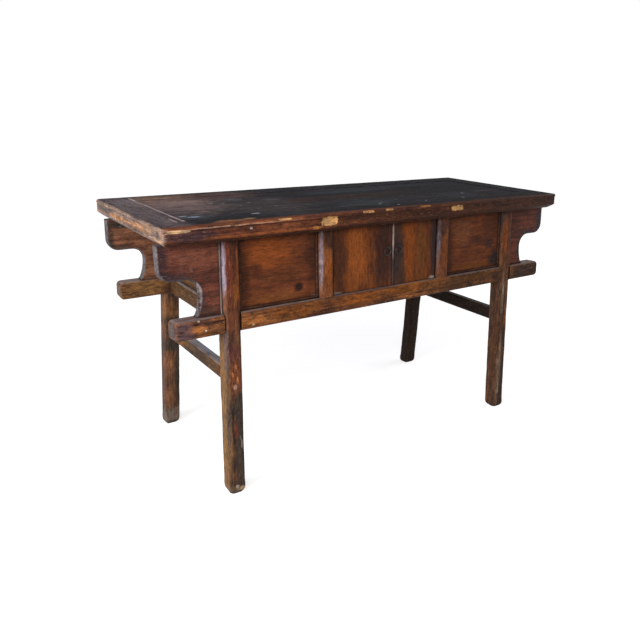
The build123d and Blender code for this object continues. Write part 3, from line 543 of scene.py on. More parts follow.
# %% Legs and stiles, grain upright
leg_marks = front_marks(0.04, [
    # the whole upper part of each upright
    (-0.590, 0.10, 0.060, 0.17, "#6e3f2b", 0.65),
    (-0.245, 0.10, 0.060, 0.17, "#87502f", 0.65),
    (0.250, 0.10, 0.060, 0.17, "#78462c", 0.6),
    (0.590, 0.10, 0.060, 0.17, "#523223", 0.55),
]) + [
    # long marks on the front legs, and painted shade over the whole leg at the back right
    ((-0.620, -0.25, 0.30), (0.014, 0.06, 0.40), "#73542f", 0.85),
    (on_front(-0.580, -0.38), (0.024, 0.03, 0.25), "#3f3831", 0.8),
    (on_front(0.570, -0.25), (0.012, 0.06, 0.30), "#4a3020", 0.7),
    ((0.59, 0.25, 0.35), (0.11, 0.11, 0.75), "#221b16", 0.85),
    # bloom on the rounded corners, with a painted sheen where they face left
    (on_front(-0.606, 0.135, -0.005), (0.0065, 0.012, 0.09), "#8b8390", 0.75),
    (on_front(-0.611, -0.10, -0.004), (0.0055, 0.010, 0.16), "#4b4142", 0.8),
    (on_front(-0.6155, -0.34, -0.004), (0.0055, 0.010, 0.20), "#3b3533", 0.8),
    (on_front(-0.271, 0.12, -0.004), (0.006, 0.012, 0.11), "#857d86", 0.7),
    (on_front(0.230, 0.14, -0.004), (0.006, 0.014, 0.09), "#55555e", 0.75),
] + front_marks(0.02, [
    # uprights of the cabinet
    (-0.590, 0.13, 0.012, 0.10, "#643024", 0.75),
    (-0.573, 0.17, 0.012, 0.06, "#3c241c", 0.7),
    (-0.564, 0.10, 0.004, 0.12, "#8a4d22", 0.7),
    (-0.575, 0.06, 0.010, 0.05, "#7c4a24", 0.7),
    (-0.245, 0.185, 0.024, 0.035, "#2f2220", 0.8),
    (-0.240, 0.08, 0.018, 0.06, "#8a4c1e", 0.75),
    (0.258, 0.13, 0.018, 0.10, "#7a4420", 0.75),
    (0.250, 0.18, 0.024, 0.03, "#3a2c2a", 0.7),
    (0.562, 0.19, 0.026, 0.03, "#3a3333", 0.7),
    (0.575, 0.12, 0.012, 0.08, "#80441e", 0.8),
    # rubbed and stained places lower down
    (-0.590, -0.120, 0.020, 0.030, "#5a3430", 0.7),
    (-0.588, -0.200, 0.020, 0.060, "#77452c", 0.8),
    (-0.594, -0.365, 0.007, 0.034, "#6a3a2b", 0.85),
]) + front_marks(0.03, [
    (-0.598, -0.572, 0.026, 0.014, "#857058", 0.75),
    (0.577, -0.12, 0.009, 0.09, "#7b6759", 0.7),
    (0.605, -0.195, 0.013, 0.055, "#8a5330", 0.85),
    (0.583, -0.42, 0.010, 0.15, "#7b6855", 0.75),
    (0.613, -0.36, 0.010, 0.12, "#27211d", 0.85),
]) + [
    # the leg at the back left
    ((-0.612, 0.23, 0.46), (0.05, 0.06, 0.05), "#7a5230", 0.6),
    ((-0.604, 0.23, 0.25), (0.018, 0.08, 0.05), "#80553a", 0.7),
    ((-0.608, 0.23, 0.11), (0.016, 0.08, 0.045), "#7c5338", 0.7),
    ((-0.590, 0.23, 0.33), (0.05, 0.08, 0.03), "#322e28", 0.85),
    ((-0.572, 0.23, 0.22), (0.014, 0.08, 0.12), "#322f28", 0.85),
    ((-0.590, 0.23, 0.42), (0.05, 0.08, 0.02), "#302c27", 0.7),
    ((-0.595, 0.26, 0.02), (0.06, 0.08, 0.05), "#6e6154", 0.8),
]
leg_chips = front_marks(0.02, [
    (-0.590, -0.228, 0.006, 0.010, "#8a7264", 0),
    (-0.582, -0.212, 0.004, 0.016, "#a4683e", 0),
    (-0.596, -0.188, 0.004, 0.012, "#a06238", 0),
    (-0.584, -0.165, 0.005, 0.008, "#9a5c38", 0),
    (-0.577, -0.420, 0.004, 0.018, "#7c766c", 0),
    (-0.582, -0.395, 0.003, 0.010, "#6f6a62", 0),
    (-0.582, -0.570, 0.012, 0.008, "#a88c68", 0),
    (-0.600, -0.560, 0.006, 0.006, "#8c8478", 0),
    (0.580, -0.09, 0.004, 0.022, "#948a80", 0),
    (0.584, -0.33, 0.003, 0.030, "#8c7a68", 0),
    (0.586, -0.50, 0.004, 0.035, "#928270", 0),
])
# knocked and wiped lacquer: near black over ochre wood, with pits, chips, bloom and painted sheen,
# and painted shade on the leg at the back right
leg_elm = lacquered_elm(
    "elm_leg_brushed_lacquer", 2, ("#2c211d", "#4e382c", "#7a5231"), "#94704c", "#1a1412",
    leg_marks, leg_chips, seed=5.2, contrast=0.075, flecked=0.68, fleck_size=0.006,
    dusty=0.5, mottled=0.36,
)

# %% Bottom rails, grain from end to end
rail_marks = front_marks(0.03, [
    (-0.37, -0.025, 0.10, 0.022, "#7d4a22", 0.7),
    (-0.12, -0.022, 0.10, 0.020, "#8a4f20", 0.75),
    (0.08, -0.015, 0.10, 0.018, "#8a4e1c", 0.75),
    (0.42, -0.018, 0.08, 0.016, "#704419", 0.75),
    (0.56, -0.030, 0.05, 0.03, "#38261c", 0.8),
]) + front_marks(0.05, [
    # painted shade: the right half of the rail darker, where less light reaches
    (0.46, -0.03, 0.40, 0.06, "#4b3322", 0.65),
]) + front_marks(0.03, [
    (0.70, -0.03, 0.08, 0.04, "#392d29", 0.7),
    (-0.695, -0.030, 0.040, 0.012, "#a2683a", 0.8),
    (-0.735, -0.035, 0.030, 0.028, "#57464b", 0.75),
    (-0.664, -0.012, 0.018, 0.016, "#4c322a", 0.7),
]) + [
    (on_front(-0.775, -0.03, -0.02), (0.012, 0.05, 0.05), "#45403d", 0.9),
    ((-0.70, 0.25, 0.555), (0.10, 0.06, 0.05), "#735431", 0.85),
    ((-0.775, 0.25, 0.560), (0.012, 0.06, 0.06), "#4a4642", 0.9),
]
rail_chips = front_marks(0.02, [
    (-0.672, -0.036, 0.004, 0.004, "#e0d6c8", 0),
    (-0.693, -0.006, 0.005, 0.003, "#c9b8a8", 0),
    (-0.52, -0.044, 0.006, 0.003, "#b89a78", 0),
    (0.60, -0.02, 0.004, 0.005, "#8a6a48", 0),
])
# the most rubbed piece: orange wood between dark pits, and dust on its upper face
rail_elm = lacquered_elm(
    "elm_rail_brushed_lacquer", 0, ("#38231c", "#62402b", "#935d33"), "#b07c48", "#1f1614",
    rail_marks, rail_chips, seed=2.6, contrast=0.06, flecked=0.9, fleck_size=0.008,
    dusty=0.6, dust="#857b7a", mottled=0.42,
)

# %% End members, grain from front to back
end_marks = [
    # painted shade over all of the right end
    ((0.59, 0.0, 0.38), (0.10, 0.80, 0.12), "#1e1612", 0.9),
    ((0.58, 0.0, 0.56), (0.10, 0.80, 0.08), "#2a1d16", 0.8),
    # the left stretcher, from end to end and then in bands
    ((-0.58, 0.0, 0.37), (0.08, 0.60, 0.07), "#4e3722", 0.7),
    ((-0.58, -0.20, 0.38), (0.08, 0.05, 0.05), "#4c3019", 0.7),
    ((-0.58, -0.05, 0.37), (0.08, 0.06, 0.05), "#33251a", 0.8),
    ((-0.58, 0.13, 0.38), (0.08, 0.06, 0.04), "#73481f", 0.85),
    ((-0.58, 0.02, 0.365), (0.08, 0.06, 0.016), "#2a2018", 0.8),
    # the left end rail
    ((-0.58, 0.0, 0.55), (0.10, 0.60, 0.07), "#472f1a", 0.75),
]
end_wear = {"contrast": 0.08, "flecked": 0.8, "fleck_size": 0.006, "mottled": 0.38}
# thin lacquer in the shade of the top: olive brown, and grey with dust where it faces up
end_elm = lacquered_elm(
    "elm_end_member_thin_lacquer", 1, ("#261b12", "#46331f", "#66492c"), "#9c805c", "#1a1412",
    end_marks, seed=4.4, dusty=0.7, dust="#97989c", **end_wear,
)
# the stretcher at the right: the same, painted nearly black as shade
stretcher_shaded_elm = lacquered_elm(
    "elm_end_member_painted_shade_lacquer", 1, ("#1e1510", "#33251a", "#4a3523"), "#7b6248", "#15100d",
    end_marks, seed=4.9, dusty=0.2, dust="#7a7572", **end_wear,
)

# %% Bare wood inside, and the thin beads
# planed and never lacquered: pale, dry and dull
inside_elm = lacquered_elm(
    "elm_inside_planed_bare", 0, ("#5d4029", "#7d5a3a", "#93704a"), "#9c7c58", "#2a1d14",
    seed=9.0, gloss=0.6,
)
# a bead that stands proud is rubbed along its whole length: a pale grey-brown line
bead_elm = lacquered_elm(
    "elm_bead_rubbed_lacquer", 2, ("#463a34", "#645449", "#82746a"), "#9a8f86", "#1d1715",
    seed=2.2,
)
# a bead that lies lower than the stiles keeps its lacquer: a dark line
panel_bead_elm = lacquered_elm(
    "elm_panel_bead_lacquer", 0, ("#281a15", "#3f281d", "#593a28"), "#6b4c38", "#1a1412",
    seed=3.9,
)

# %% [markdown]
# ## The top
# Cloths and bowls polished the top nearly black, and candle wax and water left it dull and
# brownish at its left end. Its edge is the part that hands and chairs touch, so there the
# lacquer is worn to red-brown, its arrises to orange, and a few chips show fresh elm. The edge
# finish runs on under the moulding's bevel, and stops where the underside begins.

# %% Top: the dark face and its stains
top_low, top_thick = 0.803, 0.054


def top_marks(depth, rows):
    """Marks from rows of x, y, half length, half width, colour and strength or squareness."""
    return [
        (Vector((x, y, top_low + top_thick)), (long, wide, depth), tint, last)
        for x, y, long, wide, tint, last in rows
    ]


face_marks = top_marks(0.02, [
    (-0.62, 0.17, 0.13, 0.13, "#866a5c", 0.85),
    (-0.60, 0.03, 0.14, 0.14, "#776562", 0.85),
    (-0.42, 0.20, 0.14, 0.08, "#5f4a46", 0.75),
    (-0.57, 0.10, 0.08, 0.04, "#8a7870", 0.6),
    (-0.755, 0.0, 0.055, 0.42, "#655a5b", 0.85),
    (-0.73, 0.18, 0.05, 0.07, "#7c7274", 0.6),
    (-0.66, -0.10, 0.06, 0.08, "#51494a", 0.7),
    (-0.640, -0.155, 0.05, 0.024, "#3a444a", 0.7),
    (-0.580, -0.262, 0.05, 0.022, "#936748", 0.8),
    (-0.52, -0.246, 0.02, 0.010, "#b08a64", 0.6),
    (-0.40, 0.10, 0.030, 0.030, "#6c7076", 0.5),
    (-0.275, 0.05, 0.030, 0.028, "#62686e", 0.5),
    (-0.21, -0.01, 0.06, 0.030, "#4a2a25", 0.7),
    (0.06, 0.0, 0.26, 0.05, "#352620", 0.6),
    (-0.36, -0.04, 0.15, 0.18, "#464041", 0.65),
]) + top_marks(0.012, [
    # rubbed by hands along the front arris
    (-0.34, -0.278, 0.52, 0.018, "#6c3d29", 0.85),
    (0.45, -0.280, 0.34, 0.016, "#4d2c1c", 0.75),
]) + top_marks(0.02, [
    (0.30, 0.18, 0.35, 0.05, "#2f2f34", 0.6),
    (-0.02, -0.15, 0.12, 0.06, "#3a4046", 0.5),
    (0.42, -0.14, 0.10, 0.07, "#34373c", 0.6),
    (0.10, 0.12, 0.20, 0.04, "#39414a", 0.5),
])
face_chips = top_marks(0.01, [
    # the opened joint of the left end member, and a scratch beside it
    (-0.7005, 0.035, 0.0050, 0.245, "#bba9a6", 2),
    (-0.724, -0.180, 0.0034, 0.035, "#9c8a88", 0),
    # water marks and specks
    (-0.675, -0.128, 0.016, 0.006, "#8f989c", 0),
    (-0.650, -0.150, 0.022, 0.010, "#8a96a3", 0),
    (-0.458, -0.170, 0.020, 0.008, "#9aa0a6", 0),
    (-0.50, 0.06, 0.010, 0.008, "#74767a", 0),
    (-0.46, 0.05, 0.008, 0.006, "#6f7175", 0),
    (-0.52, -0.06, 0.007, 0.006, "#66696d", 0),
    (0.00, -0.19, 0.006, 0.012, "#8b9198", 0),
    (-0.43, -0.02, 0.006, 0.008, "#5f6165", 0),
    (-0.41, -0.10, 0.005, 0.007, "#65676b", 0),
    (-0.38, 0.02, 0.012, 0.006, "#6c7076", 0),
    (-0.33, -0.07, 0.006, 0.005, "#5a5d61", 0),
    (-0.60, 0.225, 0.035, 0.007, "#9a8272", 0),
    (0.12, -0.13, 0.008, 0.005, "#55585d", 0),
    (0.20, -0.20, 0.006, 0.007, "#787c82", 0),
    (0.05, -0.23, 0.007, 0.005, "#84888e", 0),
    (0.03, -0.16, 0.010, 0.006, "#777c82", 0),
    (0.47, -0.11, 0.006, 0.010, "#787c80", 0),
    (0.38, -0.20, 0.006, 0.010, "#6f757d", 0),
])
# the blue-grey of these tones is a painted reflection
top_tones_with_reflection = ("#0b0b0e", "#1c1b1f", "#39363a")
# lacquer polished by use: black, its blue-grey a painted reflection, its grain showing as streaks
top_long_elm = lacquered_elm(
    "elm_top_black_lacquer_long_grain", 0, top_tones_with_reflection, "#645c5a", "#0d0d0f",
    face_marks, face_chips, seed=6.1, shine=0.005, fleck_size=0.007, streaked=0.28, coarse=2.6,
    mottled=0.30,
)
top_end_elm = lacquered_elm(
    "elm_top_black_lacquer_end_member", 1, top_tones_with_reflection, "#7a6d69", "#151416",
    face_marks, face_chips, seed=8.3, shine=0.005, fleck_size=0.006, streaked=0.20, coarse=1.6,
    mottled=0.30,
)

# %% Its edge: worn through to red-brown, with fresh chips
edge_marks = [
    ((0.46, -0.289, 0.828), (0.66, 0.020, 0.06), "#3b2820", 0.8),
    # the lower bead: rubbed, and with a painted highlight along its round
    ((-0.50, -0.289, 0.820), (0.32, 0.012, 0.0045), "#8c502d", 0.75),
    ((-0.08, -0.289, 0.835), (0.24, 0.014, 0.018), "#4a2e22", 0.75),
    ((-0.60, -0.289, 0.8500), (0.22, 0.012, 0.0020), "#b08a70", 0.75),
    ((-0.72, -0.289, 0.829), (0.075, 0.014, 0.018), "#3a2c30", 0.9),
    ((-0.54, -0.289, 0.836), (0.04, 0.012, 0.010), "#40231d", 0.7),
    ((-0.38, -0.289, 0.834), (0.13, 0.014, 0.012), "#512f24", 0.6),
    # painted shade on the bevel under the edge, which faces down
    ((0.0, -0.280, 0.806), (1.40, 0.020, 0.008), "#3a251b", 0.8),
    ((-0.17, -0.289, 0.842), (0.06, 0.012, 0.012), "#38241c", 0.7),
    ((0.10, -0.289, 0.838), (0.10, 0.012, 0.014), "#3a251b", 0.7),
    ((-0.80, -0.287, 0.835), (0.016, 0.018, 0.04), "#9a8478", 0.8),
    ((0.0, 0.305, 0.828), (1.20, 0.030, 0.06), "#452c20", 0.8),
]
end_edge_marks = [
    ((-0.801, 0.07, 0.832), (0.012, 0.12, 0.007), "#9a6a40", 0.8),
    ((-0.801, -0.10, 0.836), (0.012, 0.06, 0.012), "#9c6e48", 0.75),
    ((-0.801, -0.19, 0.838), (0.012, 0.03, 0.014), "#8f6a4a", 0.7),
    ((-0.801, -0.255, 0.838), (0.012, 0.014, 0.014), "#4c403c", 0.8),
    ((-0.801, 0.22, 0.838), (0.012, 0.05, 0.016), "#4f453f", 0.7),
    ((-0.801, 0.0, 0.8065), (0.02, 0.45, 0.003), "#8f897c", 0.8),
    ((0.801, 0.01, 0.828), (0.030, 0.80, 0.06), "#4a3022", 0.9),
]
edge_chips = [
    ((-0.268, -0.289, 0.836), (0.030, 0.03, 0.014), "#c79a64", 2),
    ((0.268, -0.289, 0.839), (0.030, 0.03, 0.010), "#bd935f", 1),
    ((-0.318, -0.289, 0.819), (0.013, 0.03, 0.005), "#a8713a", 1),
    ((-0.752, -0.289, 0.846), (0.034, 0.03, 0.0045), "#c8a57c", 1),
    ((-0.425, -0.289, 0.854), (0.024, 0.03, 0.0030), "#b4895a", 1),
    ((-0.120, -0.289, 0.853), (0.022, 0.03, 0.0040), "#b5875a", 1),
    ((-0.035, -0.289, 0.854), (0.016, 0.03, 0.0030), "#b08456", 1),
    ((-0.535, -0.289, 0.8375), (0.0045, 0.03, 0.0035), "#a89c94", 1),
    ((0.120, -0.289, 0.855), (0.026, 0.03, 0.0025), "#9a6a3c", 1),
]
# lacquer rubbed off by hands: dark red-brown that turns to orange, flecked with grime, with
# painted shade on its bevel and a painted highlight on its lower bead
edge_elm = lacquered_elm(
    "elm_top_edge_worn_lacquer", 0, ("#2a1b1a", "#5a3427", "#824d2e"), "#ab7345", "#1a1211",
    edge_marks, edge_chips, seed=6.6, contrast=0.075, flecked=0.95, streaked=0.2, mottled=0.38,
)
# dry cracked lacquer at the left end: grey-brown, with pale wood in the cracks
end_edge_elm = lacquered_elm(
    "elm_top_edge_cracked_end_member", 1, ("#372e2b", "#6c5a50", "#94785e"), "#b39c8a", "#241d1b",
    end_edge_marks, edge_chips, seed=8.8, contrast=0.07, flecked=1.0, fleck_size=0.0055,
    streaked=0.2, mottled=0.36,
)

# %% [markdown]
# ## Forged iron
# The pulls are thin iron, hammered black and then rubbed bright where fingers turn them. Scale
# from the forge gives it a pitted skin with grains of about 1 mm, and patches of 5 mm are dull
# and brown with rust. Both are plain noises, because a ring this small needs no more.

# %% Iron
grains_per_metre, patches_per_metre = 900.0, 180.0

iron, tree = new_material("iron_forged_black_scale")
place = add(tree, "ShaderNodeTexCoord").outputs["Object"]
links = {"Vector": place, "Scale": grains_per_metre, "Detail": 3.0}
scale_grains = add(tree, "ShaderNodeTexNoise", links)
links = {"Vector": place, "Scale": patches_per_metre, "Detail": 3.0}
rust = add(tree, "ShaderNodeTexNoise", links)
rusted = add(tree, "ShaderNodeMapRange", {"Value": rust, "From Min": 0.52, "From Max": 0.66})
iron_colour = laid_over(tree, linear("#35353a"), [(rusted, "#2c1f19")])
iron_dull = add(tree, "ShaderNodeMapRange", {"Value": rusted, "To Min": 0.42, "To Max": 0.8})
links = {"Height": scale_grains, "Strength": 0.3, "Distance": 0.0004}
iron_bump = add(tree, "ShaderNodeBump", links)
shader = add(tree, "ShaderNodeBsdfPrincipled", {
    "Base Color": iron_colour, "Metallic": 0.85, "Roughness": iron_dull, "Normal": iron_bump,
})
add(tree, "ShaderNodeOutputMaterial", {"Surface": shader})
print(iron.name, "made with", len(tree.nodes), "nodes")

# %% Give every board its finish
finish_of = {
    "top_front": top_long_elm, "top_back": top_long_elm, "top_board": top_long_elm,
    "top_left": top_end_elm, "top_right": top_end_elm, "top_batten": inside_elm,
    "leg": leg_elm, "stile": leg_elm, "bottom_rail": rail_elm,
    "end_rail": end_elm, "stretcher": end_elm, "stretcher_right": stretcher_shaded_elm,
    "panel_end": end_elm, "panel_bead": panel_bead_elm, "spandrel_bead": bead_elm,
    "spandrel": spandrel_elm, "panel_front": panel_elm, "panel_back": panel_elm,
    "floor": inside_elm, "door_stop": inside_elm, "door": door_elm,
    "spandrel_nails": iron, "pull": iron,
}
for name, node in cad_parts.items():
    matched = max((start for start in finish_of if name.startswith(start)), key=len)
    node.data.materials.clear()
    node.data.materials.append(finish_of[matched])
print("finishes on", len(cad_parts), "boards and fittings")

# %% [markdown]
# ## From rows of points to a piece
# The worn pieces that follow are each made of rows of points, because a row can be bent, cut
# short or dented wherever the real wood is. Two helpers serve them all: one joins the rows with
# faces and closes both ends, and the other turns the result into a piece that rides on a body
# and stands for a plain board.

# %% Joining rows and finishing a piece
def join(bm, rows):
    """Faces between rows of points, and one at each end."""
    sides = []
    for one, two in zip(rows, rows[1:]):
        for j in range(len(one)):
            k = (j + 1) % len(one)
            sides.append(bm.faces.new((one[j], one[k], two[k], two[j])))
    return sides, [bm.faces.new(rows[0]), bm.faces.new(rows[-1])]


def finish_piece(name, bm, body, slot, node, *materials):
    """Faces outwards, finish, body, and the plain solid that the piece stands for. slot is not
    used.
    """
    bmesh.ops.recalc_face_normals(bm, faces=bm.faces)
    mesh = bpy.data.meshes.new(name)
    bm.to_mesh(mesh)
    bm.free()
    for material in materials:
        mesh.materials.append(material)
    piece = bpy.data.objects.new(name, mesh)
    scene.collection.objects.link(piece)
    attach(piece, body)
    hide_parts(node)
    print(name, len(mesh.polygons), "faces, rides on", body)
    return mesh


# the sides in x and in y of each corner of the table
corner_names = {
    (-1, -1): "front_left", (1, -1): "front_right", (-1, 1): "back_left", (1, 1): "back_right",
}
print("corners:", ", ".join(corner_names.values()))

# %% [markdown]
# ## The moulded edge of the top
# The four members of the top's frame are planed to one section: a bevel below, a small bead, a
# flat band, a groove and a round arris above. A section that is carried along a line is a sweep,
# and it is written here as rows of points, because the ends have to be cut at 45 degrees: a
# point that lies deeper in from the edge simply stops sooner. The rows are then worn the way
# the real edge is: rounded corners, a wavy arris, and chips that are broken out of it.

# %% The section, as distance in from the edge and height over the underside
top_half_length = 0.800
top_front_y, top_back_y = -0.2885, 0.3045
top_middle_y = (top_front_y + top_back_y) / 2
top_half_depth = (top_back_y - top_front_y) / 2
member_width = 0.100
bevel_in, bevel_up, band_in = 0.020, 0.014, 0.0015
bead_radius, bead_up = 0.0030, 0.017
band_up, groove_in, groove_up = 0.0396, 0.0026, 0.0418
arris_radius, arris_up = 0.008, 0.046


def steps(start, end, count):
    """Evenly spaced points from start towards end, without the last one."""
    return [tuple(a + (b - a) * i / count for a, b in zip(start, end)) for i in range(count)]


def arc(centre_in, centre_up, radius, angles):
    """Points on a circle, by their angles in degrees."""
    return [
        (centre_in + radius * cos(radians(a)), centre_up + radius * sin(radians(a)))
        for a in angles
    ]


section = (
    steps((member_width, 0.0), (bevel_in, 0.0), 5)
    + steps((bevel_in, 0.0), (band_in, bevel_up), 4)
    + arc(bead_radius, bead_up, bead_radius, (225, 202, 180, 158, 135))
    + steps((band_in, bead_up + bead_radius), (band_in, band_up), 8)
    + [(band_in, band_up), (groove_in, groove_up)]
    + arc(arris_radius, arris_up, arris_radius, range(205, 89, -10))
    + steps((arris_radius, top_thick), (member_width, top_thick), 16)
    + [(member_width, top_thick)]
)
print("points in the section:", len(section))

# %% Wear of the edge
corner_rounds = {(-1, -1): 0.010, (-1, 1): 0.014, (1, -1): 0.006, (1, 1): 0.006}
edge_breaks = [
    # middle, half sizes along, in and up, depth
    (Vector((-0.268, -0.2885, 0.834)), (0.036, 0.02, 0.019), 0.0045),
    (Vector((0.268, -0.2885, 0.838)), (0.036, 0.02, 0.012), 0.0035),
    (Vector((-0.315, -0.2885, 0.822)), (0.016, 0.02, 0.006), 0.0020),
    (Vector((-0.765, -0.2885, 0.847)), (0.026, 0.02, 0.007), 0.0022),
    (Vector((-0.705, -0.2885, 0.853)), (0.020, 0.02, 0.005), 0.0020),
    (Vector((-0.425, -0.2885, 0.854)), (0.030, 0.02, 0.004), 0.0018),
    (Vector((-0.120, -0.2885, 0.853)), (0.026, 0.02, 0.005), 0.0022),
    (Vector((-0.035, -0.2885, 0.854)), (0.020, 0.02, 0.004), 0.0020),
    (Vector((0.120, -0.2885, 0.855)), (0.030, 0.02, 0.003), 0.0012),
    (Vector((-0.800, -0.255, 0.845)), (0.02, 0.022, 0.014), 0.0030),
    (Vector((-0.800, 0.270, 0.845)), (0.02, 0.024, 0.014), 0.0030),
    (Vector((-0.800, 0.120, 0.852)), (0.02, 0.040, 0.006), 0.0018),
    (Vector((-0.800, -0.060, 0.852)), (0.02, 0.050, 0.005), 0.0016),
    (Vector((0.800, 0.050, 0.852)), (0.02, 0.040, 0.005), 0.0016),
    (Vector((0.350, 0.3045, 0.850)), (0.040, 0.02, 0.007), 0.0022),
]
edge_waves = ((0.0007, 22.0), (0.0004, 75.0))  # how high, and how many to a metre
band_from, arris_from = 0.83, 0.85
near_end = 0.01


def worn(point):
    """Where a point of the new top's edge has gone after two hundred years."""
    x_side = -1 if point.x < 0 else 1
    y_side = -1 if point.y < top_middle_y else 1
    from_end = top_half_length - abs(point.x)
    from_edge = point.y - top_front_y if y_side < 0 else top_back_y - point.y
    corner = corner_rounds[x_side, y_side]
    if from_end < corner and from_edge < corner:
        aside = Vector((corner - from_end, corner - from_edge))
        aside *= max(aside) / aside.length
        from_end, from_edge = corner - aside.x, corner - aside.y
    depth = min(from_end, from_edge)
    wave = sum(high * noise.noise(point * per_metre) for high, per_metre in edge_waves)
    if depth < 0.012 and point.z > band_from:
        wave += 0.0012 * max(0.0, noise.noise(point * 40.0))
    if from_end < from_edge:
        from_end += max(wave, 0.0)
    else:
        from_edge += max(wave, 0.0)
    for middle, sizes, deep in edge_breaks:
        offset = point - middle
        near = hypot(*(offset[k] / sizes[k] for k in range(3)))
        near += 0.35 * noise.noise(point * 90.0)
        if near < 1.0:
            broken = deep * min(1.0, (1.0 - near) / 0.3) + 0.0006 * noise.noise(point * 260.0)
            if abs(middle.x) > top_half_length - near_end:
                from_end = max(from_end, broken)
            else:
                from_edge = max(from_edge, broken)
    lower = 0.0
    if depth < 0.02 and point.z > arris_from:
        lower = 0.0006 * max(0.0, noise.noise(point * 30.0))
    y = top_front_y + from_edge if y_side < 0 else top_back_y - from_edge
    return Vector((x_side * (top_half_length - from_end), y, point.z - lower))


print("chips broken out of the edge:", len(edge_breaks))

# %% Which faces of the section have the edge finish: the bevel, and up to the arris's outer half
outer_arris = 0.0062
hair = 0.0005
is_edge = []
for one, two in zip(section, section[1:] + section[:1]):
    deepest, highest = max(one[0], two[0]), max(one[1], two[1])
    on_bevel = deepest < bevel_in + hair and highest < bevel_up + hair
    is_edge.append(int(deepest < outer_arris or on_bevel))
print("faces with the edge finish:", sum(is_edge), "of", len(is_edge))

# %% Sweep the four members
def top_member(name, along_x, side, spacing, finish, edge_finish, node):
    """A mitred member along x or along y, on the low or the high side."""
    mitre_area = 0.001
    half, across = top_half_depth, top_half_length
    if along_x:
        half, across = across, half
    stations = int(2 * half / spacing)
    bm = bmesh.new()
    rows = []
    for i in range(stations + 1):
        t = 2 * i / stations - 1
        row = []
        for inward, up in section:
            along, aside = t * (half - inward), side * (across - inward)
            x, y = (along, aside) if along_x else (aside, along)
            row.append(bm.verts.new(worn(Vector((x, top_middle_y + y, top_low + up)))))
        rows.append(row)
    sides, _ = join(bm, rows)
    for i, face in enumerate(sides):
        face.material_index = is_edge[i % len(section)]
    mesh = finish_piece(name, bm, "root", "top_wood", node, finish, edge_finish)
    for face in mesh.polygons:
        face.use_smooth = face.area < mitre_area


for name, along_x, side, spacing in (
    ("front", True, -1, 0.003), ("back", True, 1, 0.006),
    ("left_end", False, -1, 0.003), ("right_end", False, 1, 0.006),
):
    finishes = (top_long_elm, edge_elm) if along_x else (top_end_elm, end_edge_elm)
    node = f"top_{name}_member"
    top_member(f"worn_{name}_member", along_x, side, spacing, *finishes, node)

# %% [markdown]
# ## Scrolled spandrels
# Each spandrel is one board, sawn to a scroll and then eased round its edge with a file. A Bevel
# modifier would ease every edge alike, but where the board meets the leg, the rail and the top
# it is square. So the board is its outline, set in step by step while it steps out to the face,
# and each point of the outline says how much it is set in.

# %% Outline of the left front spandrel, as x along the front and height up it
spandrel_recess = 0.015
spandrel_thick = 0.025
spandrel_ease = 0.0045
spandrel_end = -0.797
spandrel_top_up = 0.2168
lobe = 0.038
scroll_flat_up = 0.113
hollow_high = 0.042
hollow_start = -0.718
waist = Vector((-0.6761, scroll_flat_up - hollow_high))
leg_splay, leg_middle_x, leg_half_width = radians(1.1), -0.585, 0.0275
into_leg = 0.004


def leg_edge(up):
    """x of the front left leg's outer side."""
    return leg_middle_x + up * tan(leg_splay) - leg_half_width / cos(leg_splay)


scroll = [(Vector((spandrel_end, spandrel_top_up)), 0.0)]
scroll += [(Vector((spandrel_end, spandrel_top_up - d)), 1.0) for d in (0.004, 0.02, 0.04, 0.055)]
for a in range(0, 91, 9):
    lobe_x = spandrel_end + lobe - lobe * cos(radians(a))
    scroll.append((Vector((lobe_x, scroll_flat_up + lobe - lobe * sin(radians(a)))), 1.0))
for a in range(0, 91, 7):
    hollow_x = hollow_start + (waist.x - hollow_start) * sin(radians(a))
    scroll.append((Vector((hollow_x, waist.y + hollow_high * cos(radians(a)))), 1.0))
foot_end = Vector((leg_edge(0) - 0.080, 0.0))
pulled = Vector((waist.x, waist.y * 0.45))
for i in range(1, 9):
    bend = waist.lerp(pulled, i / 8).lerp(pulled.lerp(foot_end, i / 8), i / 8)
    scroll.append((bend, 1.0 if i < 8 else 0.3))
for up in (0.0, spandrel_top_up):
    scroll.append((Vector((leg_edge(up) + into_leg, up)), 0.0))
print("points round the spandrel:", len(scroll))

# %% Build it once and turn it to the four corners
def spandrel(x_side, y_side, corner):
    """The eased board, mirrored to one corner of the table."""
    inward = []
    for i in range(len(scroll)):
        tangent = (scroll[(i + 1) % len(scroll)][0] - scroll[i - 1][0]).normalized()
        inward.append(Vector((-tangent.y, tangent.x)))
    bm = bmesh.new()
    outlines = []
    for angle, face in [(a, 0) for a in (90, 60, 30, 0)] + [(a, 1) for a in (0, 30, 60, 90)]:
        set_in = spandrel_ease * (1 - cos(radians(angle)))
        out = spandrel_ease * (1 - sin(radians(angle)))
        out = -spandrel_recess - (out if face == 0 else spandrel_thick - out)
        outline = []
        for (place, ease), inside in zip(scroll, inward):
            flat = place + inside * set_in * ease
            point = on_front(flat.x, flat.y, out)
            point += front_out * 0.0006 * noise.noise(point * 30.0)
            point = (x_side * -point.x, y_side * -point.y, min(point.z, top_low))
            outline.append(bm.verts.new(point))
        outlines.append(outline)
    sides, caps = join(bm, outlines)
    for face in sides:
        face.smooth = True
        face.material_index = 1
    bmesh.ops.triangulate(bm, faces=caps)
    name, node = "eased_spandrel_" + corner, "spandrel_" + corner
    board_elm = spandrel_elm if y_side < 0 else spandrel_back_elm
    finish_piece(name, bm, "root", "panel_wood", node, board_elm, spandrel_edge_elm)


for (x_side, y_side), corner in corner_names.items():
    spandrel(x_side, y_side, corner)

# %% [markdown]
# ## Forged nails
# The nails that hold the spandrel and the stub are all alike, so Geometry Nodes make them: a
# point for each nail, and on each point one domed head, turned and sized a little differently,
# as a smith leaves them. The tree ends by making the copies real and giving them their iron.

